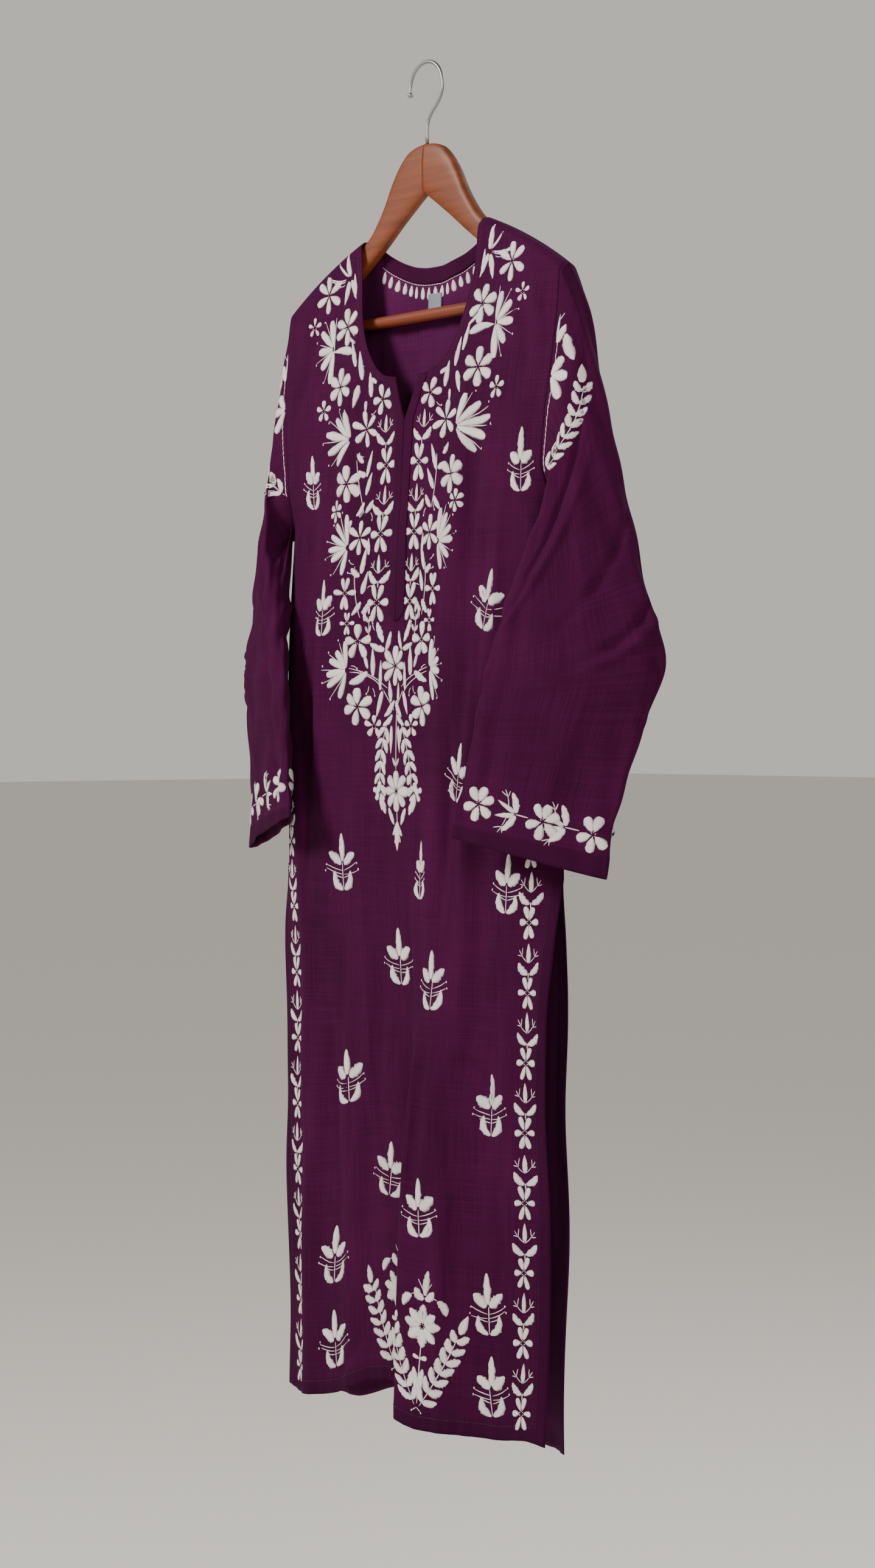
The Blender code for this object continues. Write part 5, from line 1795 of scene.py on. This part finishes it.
    def build(self) -> None:
        """Makes the panels, bands, label, stitching and embroidery of the body."""
        p, layout = self.palette, FrontLayout()
        front = self.make_panel("front_cloth", FRONT, self.front)
        back = self.make_panel("back_cloth", BACK, self.back)
        pieces = {"placket_left_band": self.make_placket("placket_left_band", 1),
                  "placket_right_band": self.make_placket("placket_right_band", -1)}
        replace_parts(front, "front")
        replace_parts(back, "back")
        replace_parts(pieces["placket_left_band"], "placket_left")
        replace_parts(pieces["placket_right_band"], "placket_right")
        facing, label = self.make_facing(), self.make_label()
        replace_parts(facing, "neck_facing")
        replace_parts(label, "neck_label")
        yoke = Needlework("yoke_embroidery", p.white, "white_thread", 3)
        yoke.add(layout.yoke())
        skirt = Needlework("skirt_embroidery", p.white, "white_thread", 5)
        skirt.add(layout.skirt())
        seams = Needlework("front_topstitch", p.topstitch, "plum_cotton", 7, -0.00012)
        seams.add(self.topstitch(FRONT), self.collar_stitch())
        behind = Needlework("back_embroidery", p.white, "white_thread", 9)
        behind.add(self.back_layout())
        hems = Needlework("back_topstitch", p.topstitch, "plum_cotton", 13, -0.00012)
        hems.add(self.topstitch(BACK))
        inside = Needlework("neck_scallop", p.white, "white_thread", 15)
        inside.add(self.scallop())
        laid = [work.lay(self.front.place) for work in (yoke, skirt, seams)]
        laid += [work.lay(self.mirrored_place) for work in (behind, hems)]
        scallop = inside.lay(self.inside_place)
        self.flat_area(FRONT)
        self.flat_area(BACK)

    def flat_area(self, panel: Panel) -> float:
        """Area of a panel's flat cut, by the trapezium rule over its mesh grid."""
        u, level = self.grid(panel)
        side = (u[:-1, 1:] + u[1:, 1:] - u[:-1, :-1] - u[1:, :-1]) / 2
        drop = (level[:-1, 1:] + level[:-1, :-1] - level[1:, 1:] - level[1:, :-1]) / 2
        return float(np.sum(side * drop))

    def mirrored_place(self, u: Array, level: Array, lift: Array) -> Array:
        """Places on the back, with u measured from outside so that stitches face out."""
        return self.back.place(-np.asarray(u), level, lift)

    def inside_place(self, u: Array, level: Array, lift: Array) -> Array:
        """Places on the inside of the back."""
        return self.back.place(u, level, -CUT.cloth - np.asarray(lift))

    def back_layout(self) -> list[Stitch]:
        """The back: neck petals, scattered sprigs in offset rows, borders and two bouquets."""
        layout = FrontLayout()
        parts = self.scallop()
        for row in range(self.back_rows):
            level = self.back_top - self.back_step * row
            for u in ((-0.105, 0.0, 0.105) if row % 2 == 0 else (-0.055, 0.055)):
                parts += moved(MOTIFS.buti(), u, level)
        parts += layout.border()
        parts += moved(layout.bouquet(), -0.055, -1.215)
        parts += moved(layout.bouquet(), 0.085, -1.215)
        return parts


# Creases round a sleeve. Columns: share of its length, spread, turn, tilt and height.
SLEEVE_CREASES = (
    (0.560, 0.012, 0.50, 0.07, -0.0026), (0.600, 0.010, 0.70, 0.05, 0.0022),
    (0.635, 0.011, 0.40, -0.05, -0.0026), (0.675, 0.012, 0.90, -0.06, 0.0024),
    (0.705, 0.010, 0.60, -0.08, -0.0018), (0.460, 0.016, 0.90, 0.10, -0.0018),
    (0.360, 0.018, 1.70, 0.12, 0.0020), (0.280, 0.016, 1.50, 0.14, -0.0020),
    (0.520, 0.014, 4.60, 0.06, -0.0022), (0.620, 0.013, 4.90, -0.05, 0.0022),
    (0.420, 0.016, 4.30, 0.08, 0.0020),
)
# Creases along it. Columns: turn at the armhole, drift, height and share where it starts.
SLEEVE_RUNS = (
    (1.0, 0.5, 0.0020, 0.2), (2.1, 0.3, -0.0020, 0.35),
    (4.2, -0.4, 0.0018, 0.3), (5.3, 0.3, -0.0018, 0.1),
)
# Slow unevenness. Columns: waves round it, waves along it and height.
SLEEVE_RIPPLES = ((7, 5.0, 0.0004), (11, 3.0, 0.0004), (5, 9.0, 0.0005))


@dataclass
class Sleeve:
    """One sleeve: the cloth tube, its cuff hem and its embroidery."""

    side: int
    palette: Palette
    body: Body
    rows: int = 150
    around: int = 128
    blend: float = 0.16
    cuff_depth: float = 0.020
    band_above_hem: float = 0.038
    crease_gain: float = 1.6
    double_step: float = 0.00035
    length_for_hem: float = 0.56
    hem_edge: float = 0.002
    view_turn: float = 22.0

    def __post_init__(self) -> None:
        """Works out the tube's grid and its normals."""
        turn = np.linspace(0.0, 2 * math.pi, self.around * 2, endpoint=False)
        share = np.linspace(0.0, 1.0, self.rows)
        ring = self.rings(share, turn)
        hole = self.armhole(turn)
        fade = 1 - smooth_step(share / self.blend)
        ring = ring + fade[:, None, None] * (hole - self.rings(np.zeros(1), turn)[0])[None]
        self.grid = ring[:, ::2]
        self.share = share
        self.normals = self._normals(self.grid)
        self.grid = self.grid + self.normals * self.relief()[..., None]
        self.normals = self._normals(self.grid)

    def _normals(self, ring: Array) -> Array:
        """Outward unit normals of the tube's grid."""
        normal = np.cross(np.roll(ring, -1, 1) - np.roll(ring, 1, 1), np.gradient(ring, axis=0))
        out = np.mean(np.sum(normal * (ring - ring.mean(1, keepdims=True)), axis=-1))
        return unit(normal * np.sign(out))

    def rings(self, share: Array, turn: Array) -> Array:
        """Rings of a flattened tube: an ellipse between two folds, its two faces swollen apart."""
        v = {name: smooth_column(SLEEVE, name, share) for name in SleeveSection._fields[1:]}
        right = 1.0 if self.side < 0 else 0.0
        outer_x = v["outer_x"] - right * v["right_in"]
        drawn_up = right * v["right_up"]
        outer = np.stack([outer_x, v["outer_y"], v["outer_z"] + drawn_up], axis=-1)
        inner = np.stack([v["inner_x"], v["inner_y"], v["inner_z"] + drawn_up], axis=-1)
        way = np.radians(v["turn"])
        ahead = np.stack([np.sin(way), -np.cos(way), np.zeros_like(way)], axis=-1)
        middle, half = 0.5 * (outer + inner), 0.5 * (outer - inner)
        sine = np.sin(turn)
        swell = np.where(sine > 0, v["front"][:, None] * sine, v["back"][:, None] * sine)
        ring = middle[:, None] + half[:, None] * np.cos(turn)[None, :, None]
        ring = ring + ahead[:, None] * swell[..., None]
        ring[..., 0] *= self.side
        return CUT.leaned(ring)

    def armhole(self, turn: Array) -> Array:
        """The body's armhole edge: down the front panel's side and up the back's."""
        top = float(CUT.shoulder_level(np.array(CUT.shoulder_tip)))
        level = 0.5 * (top + CUT.underarm) + 0.5 * (top - CUT.underarm) * np.cos(turn)
        u = self.side * (smooth_column(SECTIONS, "half_width", level) + CUT.seam_gap)
        share = np.where(np.sin(turn) > 1e-6, 1.0, np.where(np.sin(turn) < -1e-6, 0.0, 0.5))
        front = self.body.front.place(u, level) + [0, CUT.seam_gap / 2, 0]
        back = self.body.back.place(u, level) - [0, CUT.seam_gap / 2, 0]
        return share[:, None] * front + (1 - share[:, None]) * back

    def relief(self) -> Array:
        """Creases over the tube: elbow folds, long soft runs and the cuff hem's step."""
        turn = np.linspace(0.0, 2 * math.pi, self.around, endpoint=False)[None]
        share = self.share[:, None]
        height = np.zeros((self.rows, self.around))
        for at, spread, start, tilt, size in SLEEVE_CREASES:
            line = at + tilt * (turn - start)
            reach = np.exp(-(((turn - start) / 0.75) ** 2))
            height = height + size * reach * np.exp(-(((share - line) / spread) ** 2))
        for start, drift, size, phase in SLEEVE_RUNS:
            line = start + drift * share
            reach = smooth_step((share - phase) / 0.2) * smooth_step((0.97 - share) / 0.1)
            height = height + size * reach * np.exp(-(((turn - line) / 0.16) ** 2))
        for k, (cycles, rate, size) in enumerate(SLEEVE_RIPPLES):
            height = height + size * np.sin(cycles * turn + rate * 6.28 * share + k + self.side)
        height = self.crease_gain * height * smooth_step(share / 0.10)
        return height + self.double_step * self.doubled(share)

    def doubled(self, share: Array) -> Array:
        """1 where the cuff's hem makes the cloth double."""
        past = share - 1 + self.cuff_depth / self.length_for_hem + self.hem_edge
        return smooth_step(past / (2 * self.hem_edge))

    def build(self) -> bpy.types.Object:
        """Makes the tube as a thin wall with its flat lengths as UV."""
        name = "left" if self.side > 0 else "right"
        leg = np.linalg.norm(np.roll(self.grid, -1, 1) - self.grid, axis=-1)
        drop = np.linalg.norm(np.diff(self.grid, axis=0), axis=-1).mean(axis=1)
        down = np.concatenate([[0.0], np.cumsum(drop)])
        walk = np.arange(self.around) * leg.sum(axis=1).mean() / self.around
        flat = np.stack(np.broadcast_arrays(walk[None], -down[:, None]), axis=-1)
        p = self.palette
        maker = MeshMaker(f"sleeve_{name}_cloth", [p.plum, p.inside], "plum_cotton")
        doubled = self.doubled(self.share)[:, None]
        masks = {"double": doubled + np.zeros((self.rows, self.around))}
        inner = self.grid - CUT.cloth * self.normals
        tube = maker.wall(self.grid, inner, flat.copy(), closed_round=True, masks=masks)
        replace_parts(tube, f"sleeve_{name}")
        works = self.embroider(name)
        return tube

    def face(self, front: bool) -> FaceDrape:
        """The front or back face of the tube as a surface to stitch on."""
        half = self.around // 2
        part = slice(0, half + 1) if front else slice(half, self.around)
        turn = math.radians(self.view_turn)
        way = np.array([-self.side * math.sin(turn), math.cos(turn), 0.0])
        return FaceDrape(self.grid[:, part], self.normals[:, part], way if front else -way)

    def embroider(self, name: str) -> list[bpy.types.Object]:
        """Stitches the band above the cuff on both faces, and the sleeve's top spray on the front
        face.
        """
        works = []
        for front in (True, False):
            face = self.face(front)
            label = "front" if front else "back"
            work = Needlework(f"sleeve_{name}_{label}_embroidery", self.palette.white,
                              "white_thread", 31 + self.side + (4 if front else 0))
            work.add(self.cuff_band(face))
            if front:
                work.add(self.spray(face))
            work.keep(face.covers)
            works.append(work.lay(face.place))
        return works

    def cuff_band(self, face: FaceDrape) -> list[Stitch]:
        """Flowers, leaf pairs and sprigs in a line above the cuff's hem."""
        hem = face.points[-1]
        r = hem @ face.across
        order = np.argsort(r)
        r, z = r[order], hem[order, 2]
        tilt = -math.degrees(math.atan((z[-1] - z[0]) / (r[-1] - r[0])))
        mirrored = face.across[0] < 0 if self.side > 0 else face.across[0] > 0
        parts = []
        for share, motif in (
            (0.20, self.cuff_flower()), (0.62, self.cuff_flower()), (0.925, self.cuff_flower()),
            (0.62, self.cuff_leaves()), (0.925, self.cuff_leaves()), (0.20, self.cuff_leaves()),
        ):
            at = r[-1] - share * (r[-1] - r[0]) if mirrored else r[0] + share * (r[-1] - r[0])
            y = float(np.interp(at, r, z)) + self.band_above_hem
            parts += moved(motif, float(at), y, tilt, flip=bool(mirrored))
        return parts

    def cuff_flower(self) -> list[Stitch]:
        """The cuff's flower of six uneven petals."""
        petals = (-34, 14, 62, 122, 184, 246)
        return MOTIFS.flower(petals, 0.0145, 0.0052)

    def cuff_leaves(self) -> list[Stitch]:
        """What lies between two cuff flowers: three leaves from one node and two sprigs."""
        node = -0.0270
        parts = [
            Stitch(Shape.LEAF, node, 0.001, -22, 0.0205, 0.0040, 0.05),
            Stitch(Shape.LEAF, node, -0.001, -142, 0.0205, 0.0040, -0.05),
            Stitch(Shape.SPEAR, node - 0.001, 0.001, -72, 0.0215, 0.0028),
            Stitch(Shape.SPEAR, node - 0.001, -0.001, -104, 0.0215, 0.0028),
            Stitch(Shape.TWIG, node - 0.001, 0, 90, 0.0140, 0.0010),
        ]
        parts += moved(MOTIFS.sprig(1), node - 0.0090, 0.0030, -66, 1.1)
        parts += moved(MOTIFS.sprig(-1), node - 0.0090, -0.0030, -114, 1.1)
        return parts

    def spray(self, face: FaceDrape) -> list[Stitch]:
        """The half flower on the armhole seam, leaves over it and the leafy branch below.

        Its places are those of the left sleeve's view; the right sleeve's are their mirror.
        """
        parts = [
            Stitch(Shape.SPEAR, 0.1800, -0.2890, 3, 0.0250, 0.0016),
            Stitch(Shape.TWIG, 0.1808, -0.2740, 42, 0.0110, 0.0008),
            Stitch(Shape.LEAF, 0.1800, -0.2935, 30, 0.0195, 0.0046),
            Stitch(Shape.LEAF, 0.1895, -0.2850, 158, 0.0265, 0.0058, 0.06),
        ]
        petals = ((42, 0.0205, 0.0054), (92, 0.0195, 0.0056), (150, 0.0250, 0.0062))
        for turn, length, half in petals:
            parts += moved(ring_of(Shape.PETAL, (turn,), 0.001, length, half), 0.1745, -0.3236)
        parts += moved(MOTIFS.branch(0.090, 8, 0.0165, 0.0034, 0.13, 34), 0.1665, -0.4120, 27)
        edge = face.points[3]
        r, z = np.abs(edge @ face.across), edge[:, 2]
        order = np.argsort(z)
        for level in np.arange(-0.292, -0.410, -0.0052):
            at = float(np.interp(level, z[order], r[order]))
            parts.append(Stitch(Shape.TWIG, at, float(level), 182, 0.0056, 0.0007))
        return moved(parts, 0.0, 0.0, flip=self.side < 0)


class ArmRow(NamedTuple):
    """Where the wood's top and bottom edge lie at a distance out from the middle."""

    out: float
    top: float
    bottom: float


@dataclass
class Hanger:
    """The wooden hanger: two arms, the bar between them and the wire hook."""

    palette: Palette
    half_thickness: float = 0.0068
    arm_end: float = 0.1950
    top_gap: float = 0.0027
    bar_level: float = -0.2450
    bar_radius: float = 0.0058
    bar_half: float = 0.1700
    wire: float = 0.0018
    hook_radius: float = 0.0240
    hook_offset: float = -0.0015
    stem_bend: float = -0.0640
    stem_end: float = -0.0800
    stem_mid: float = -0.0712
    bend_handle: float = 0.017
    arm_power: float = 0.55
    edge_power: float = 0.65
    end_length: float = 0.006
    end_thinning: float = 0.4
    bar_waver: float = 0.006
    arch_from: float = -22.0
    arch_to: float = 186.0
    ball_from: float = 140.0
    ball_to: float = 6.0
    ball: float = 0.0027

    def under(self, out: float) -> float:
        """Level of the wood's top edge where the shoulder lies on it."""
        return float(CUT.shoulder_level(np.array(out))) - self.top_gap

    def arm_rows(self) -> tuple[ArmRow, ...]:
        """Height of the wood's top and bottom edge from the middle to the arm's end."""
        row, under = ArmRow, self.under
        return (
            row(0.0002, -0.0785, -0.1275), row(0.0120, -0.0798, -0.1355),
            row(0.0240, -0.0838, -0.1440), row(0.0360, -0.0940, -0.1525),
            row(0.0480, -0.1105, -0.1615), row(0.0580, -0.1290, -0.1690),
            row(0.0700, -0.1465, -0.1775), row(0.0800, -0.1580, -0.1845),
            row(0.0895, under(0.0895), -0.1910), row(0.1150, under(0.1150), -0.2085),
            row(0.1420, under(0.1420), -0.2280), row(0.1630, under(0.1630), -0.2510),
            row(0.1800, under(0.1800), -0.2590), row(0.1900, under(0.1900) - 0.0030, -0.2560),
            row(0.1950, under(0.1950) - 0.0110, -0.2450),
        )

    def make_arm(self, name: str, side: int) -> bpy.types.Object:
        """One arm: rounded oblong sections, |cos|^0.55 by |sin|^0.65, down to a soft end."""
        rows = self.arm_rows()
        out = np.linspace(rows[0].out, rows[-1].out, 90)
        top, bottom = smooth_column(rows, "top", out), smooth_column(rows, "bottom", out)
        turn = np.linspace(0.0, 2 * math.pi, 44, endpoint=False)
        across = np.sign(np.cos(turn)) * np.abs(np.cos(turn)) ** self.arm_power
        upward = np.sign(np.sin(turn)) * np.abs(np.sin(turn)) ** self.edge_power
        end = smooth_step((out - self.arm_end + self.end_length) / self.end_length)
        thin = self.half_thickness * (1 - self.end_thinning * end)
        y = thin[:, None] * across
        z = 0.5 * (top + bottom)[:, None] + 0.5 * (top - bottom)[:, None] * upward
        x = side * out[:, None] + np.zeros_like(y)
        ring = CUT.leaned(np.stack([x, y, z], axis=-1))
        flat = np.stack(np.broadcast_arrays(out[:, None] + 0.3 * side, z), axis=-1)
        maker = MeshMaker(name, [self.palette.wood], "varnished_wood")
        return maker.tube(ring, flat)

    def make_bar(self) -> bpy.types.Object:
        """The round bar, with a faint waver in its turning."""
        x = np.linspace(-self.bar_half, self.bar_half, 60)
        turn = np.linspace(0.0, 2 * math.pi, 32, endpoint=False)
        radius = self.bar_radius * (1 + self.bar_waver * np.sin(x * 70))
        y, z = radius[:, None] * np.cos(turn), self.bar_level + radius[:, None] * np.sin(turn)
        ring = CUT.leaned(np.stack([x[:, None] + 0 * y, y, z], axis=-1))
        flat = np.stack(np.broadcast_arrays(x[:, None], turn * self.bar_radius), axis=-1)
        return MeshMaker("bar_turned", [self.palette.bar], "varnished_wood").tube(ring, flat)

    def hook_path(self) -> Array:
        """Wire centreline: stem, a cubic bend to the arch, then the arch over the rail."""
        turn = np.radians(np.linspace(self.arch_from, self.arch_to, 90))
        centre = self.wire - self.hook_radius
        arch = np.stack([self.hook_offset + self.hook_radius * np.cos(turn), 0 * turn,
                         centre + self.hook_radius * np.sin(turn)], axis=1)
        start, handle = np.array([0.0, 0.0, self.stem_bend]), self.bend_handle
        back = np.array([-math.sin(turn[0]), 0.0, math.cos(turn[0])])
        t = np.linspace(0.0, 1.0, 30)[:-1, None]
        bend = ((1 - t) ** 3 * start + 3 * t * (1 - t) ** 2 * (start + [0, 0, handle])
                + 3 * t * t * (1 - t) * (arch[0] - handle * back) + t**3 * arch[0])
        stem = np.array([[0.0, 0.0, self.stem_end], [0.0, 0.0, self.stem_mid]])
        return np.concatenate([stem, bend, arch])

    def make_hook(self) -> bpy.types.Object:
        """The wire with its ball tip: a circle swept along the path."""
        path = self.hook_path()
        radii = np.full(len(path), self.wire)
        way = unit(path[-1] - path[-2])
        first, last = math.radians(self.ball_from), math.radians(self.ball_to)
        steps = np.cos(np.linspace(first, last, 14))
        ball = path[-1] + self.ball * (steps[:, None] + 0.9) * way
        radii = np.concatenate([radii, self.ball * np.sqrt(1 - steps**2)])
        path = np.concatenate([path, ball])
        tangent = unit(np.gradient(path, axis=0))
        side = np.array([0.0, 1.0, 0.0])
        across = np.cross(tangent, side)
        turn = np.linspace(0.0, 2 * math.pi, 24, endpoint=False)
        ring = path[:, None] + radii[:, None, None] * (
            np.cos(turn)[None, :, None] * across[:, None] + np.sin(turn)[None, :, None] * side
        )
        leg = np.linalg.norm(np.diff(path, axis=0), axis=1)
        walk = np.concatenate([[0.0], np.cumsum(leg)])
        flat = np.stack(np.broadcast_arrays(walk[:, None], turn * self.wire), axis=-1)
        return MeshMaker("hook_wire", [self.palette.steel], "hook_steel").tube(ring, flat)

    def build(self) -> None:
        """Makes the four pieces and puts each in its solid's place."""
        for label, side in (("left", 1), ("right", -1)):
            arm = self.make_arm(f"arm_{label}_wood", side)
            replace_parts(arm, f"hanger_arm_{label}")
        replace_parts(self.make_bar(), "bar")
        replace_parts(self.make_hook(), "hook")


@dataclass(frozen=True)
class Studio:
    """Camera, floor and soft lights, placed for the photograph's view."""

    view_turn: float = 49.0
    distance: float = 2.9
    eye_level: float = -0.648
    lens: float = 68.4
    shift: tuple[float, float] = (13 / 2000, -70 / 2000)
    floor_level: float = -1.95
    floor_half: float = 60.0
    floor_colour: Colour = (0.80, 0.76, 0.70)
    floor_glow: float = 0.37
    surround: Colour = (0.70, 0.665, 0.61)
    surround_seen: float = 0.61
    surround_light: float = 0.24

    def camera(self) -> None:
        """A level camera at the photograph's angle."""
        data = bpy.data.cameras.new("camera")
        data.lens, (data.shift_x, data.shift_y) = self.lens, self.shift
        data.clip_end = 200.0
        eye = bpy.data.objects.new("camera", data)
        turn = math.radians(self.view_turn)
        eye.location = (self.distance * math.sin(turn), -self.distance * math.cos(turn),
                        self.eye_level)
        eye.rotation_euler = (math.pi / 2, 0.0, turn)
        bpy.context.scene.collection.objects.link(eye)
        bpy.context.scene.camera = eye

    def light(self, name: str, place: Sequence[float], aim: Sequence[float], size: float,
              power: float, colour: Colour = (1.0, 1.0, 1.0)) -> None:
        """A square area light that looks at a point."""
        data = bpy.data.lights.new(name, "AREA")
        data.size, data.energy, data.color = size, power, colour
        lamp = bpy.data.objects.new(name, data)
        lamp.location = place
        way = Vector(aim) - Vector(place)
        lamp.rotation_euler = way.to_track_quat("-Z", "Y").to_euler()
        bpy.context.scene.collection.objects.link(lamp)

    def floor(self) -> None:
        """A wide pale floor."""
        side = self.floor_half
        mesh = bpy.data.meshes.new("floor")
        corners = [(-side, -side), (side, -side), (side, side), (-side, side)]
        mesh.from_pydata([(x, y, self.floor_level) for x, y in corners], [], [(0, 1, 2, 3)])
        material = bpy.data.materials.new("floor_pale")
        material.use_nodes = True
        shader = material.node_tree.nodes["Principled BSDF"]
        shader.inputs["Base Color"].default_value = (*self.floor_colour, 1.0)
        shader.inputs["Roughness"].default_value = 0.9
        shader.inputs["Emission Color"].default_value = (*self.floor_colour, 1.0)
        shader.inputs["Emission Strength"].default_value = self.floor_glow
        mesh.materials.append(material)
        ground = bpy.data.objects.new("floor", mesh)
        bpy.context.scene.collection.objects.link(ground)

    def world(self) -> None:
        """A pale surround that lights the scene less than it shows."""
        world = bpy.data.worlds.new("studio")
        bpy.context.scene.world = world
        world.use_nodes = True
        w = Wiring(world.node_tree)
        background = world.node_tree.nodes["Background"]
        seen = w.add("ShaderNodeLightPath").outputs["Is Camera Ray"]
        w.feed(background.inputs["Color"], (*self.surround, 1.0))
        w.feed(background.inputs["Strength"], w.math(
            "MULTIPLY_ADD", seen, self.surround_seen, self.surround_light))

    def build(self) -> None:
        """Sets everything up."""
        self.camera()
        self.floor()
        self.world()
        middle = (0.0, 0.0, -0.65)
        self.light("key", (-1.1, -2.4, 1.1), (0.0, 0.0, -0.4), 0.9, 118.0, (1.0, 0.98, 0.95))
        self.light("side_fill", (3.0, -1.4, 0.2), middle, 1.6, 56.0, (1.0, 0.98, 0.96))
        self.light("rim", (0.6, 3.0, 1.4), middle, 1.6, 60.0)


def main() -> None:
    """Builds the studio, the garment and its hanger."""
    logging.basicConfig(level=logging.INFO, format="%(name)s: %(message)s")
    Studio().build()
    palette = make_palette()
    body = Body(palette)
    body.build()
    for side in (1, -1):
        Sleeve(side, palette, body).build()
    Hanger(palette).build()


if __name__ == "__main__":
    main()
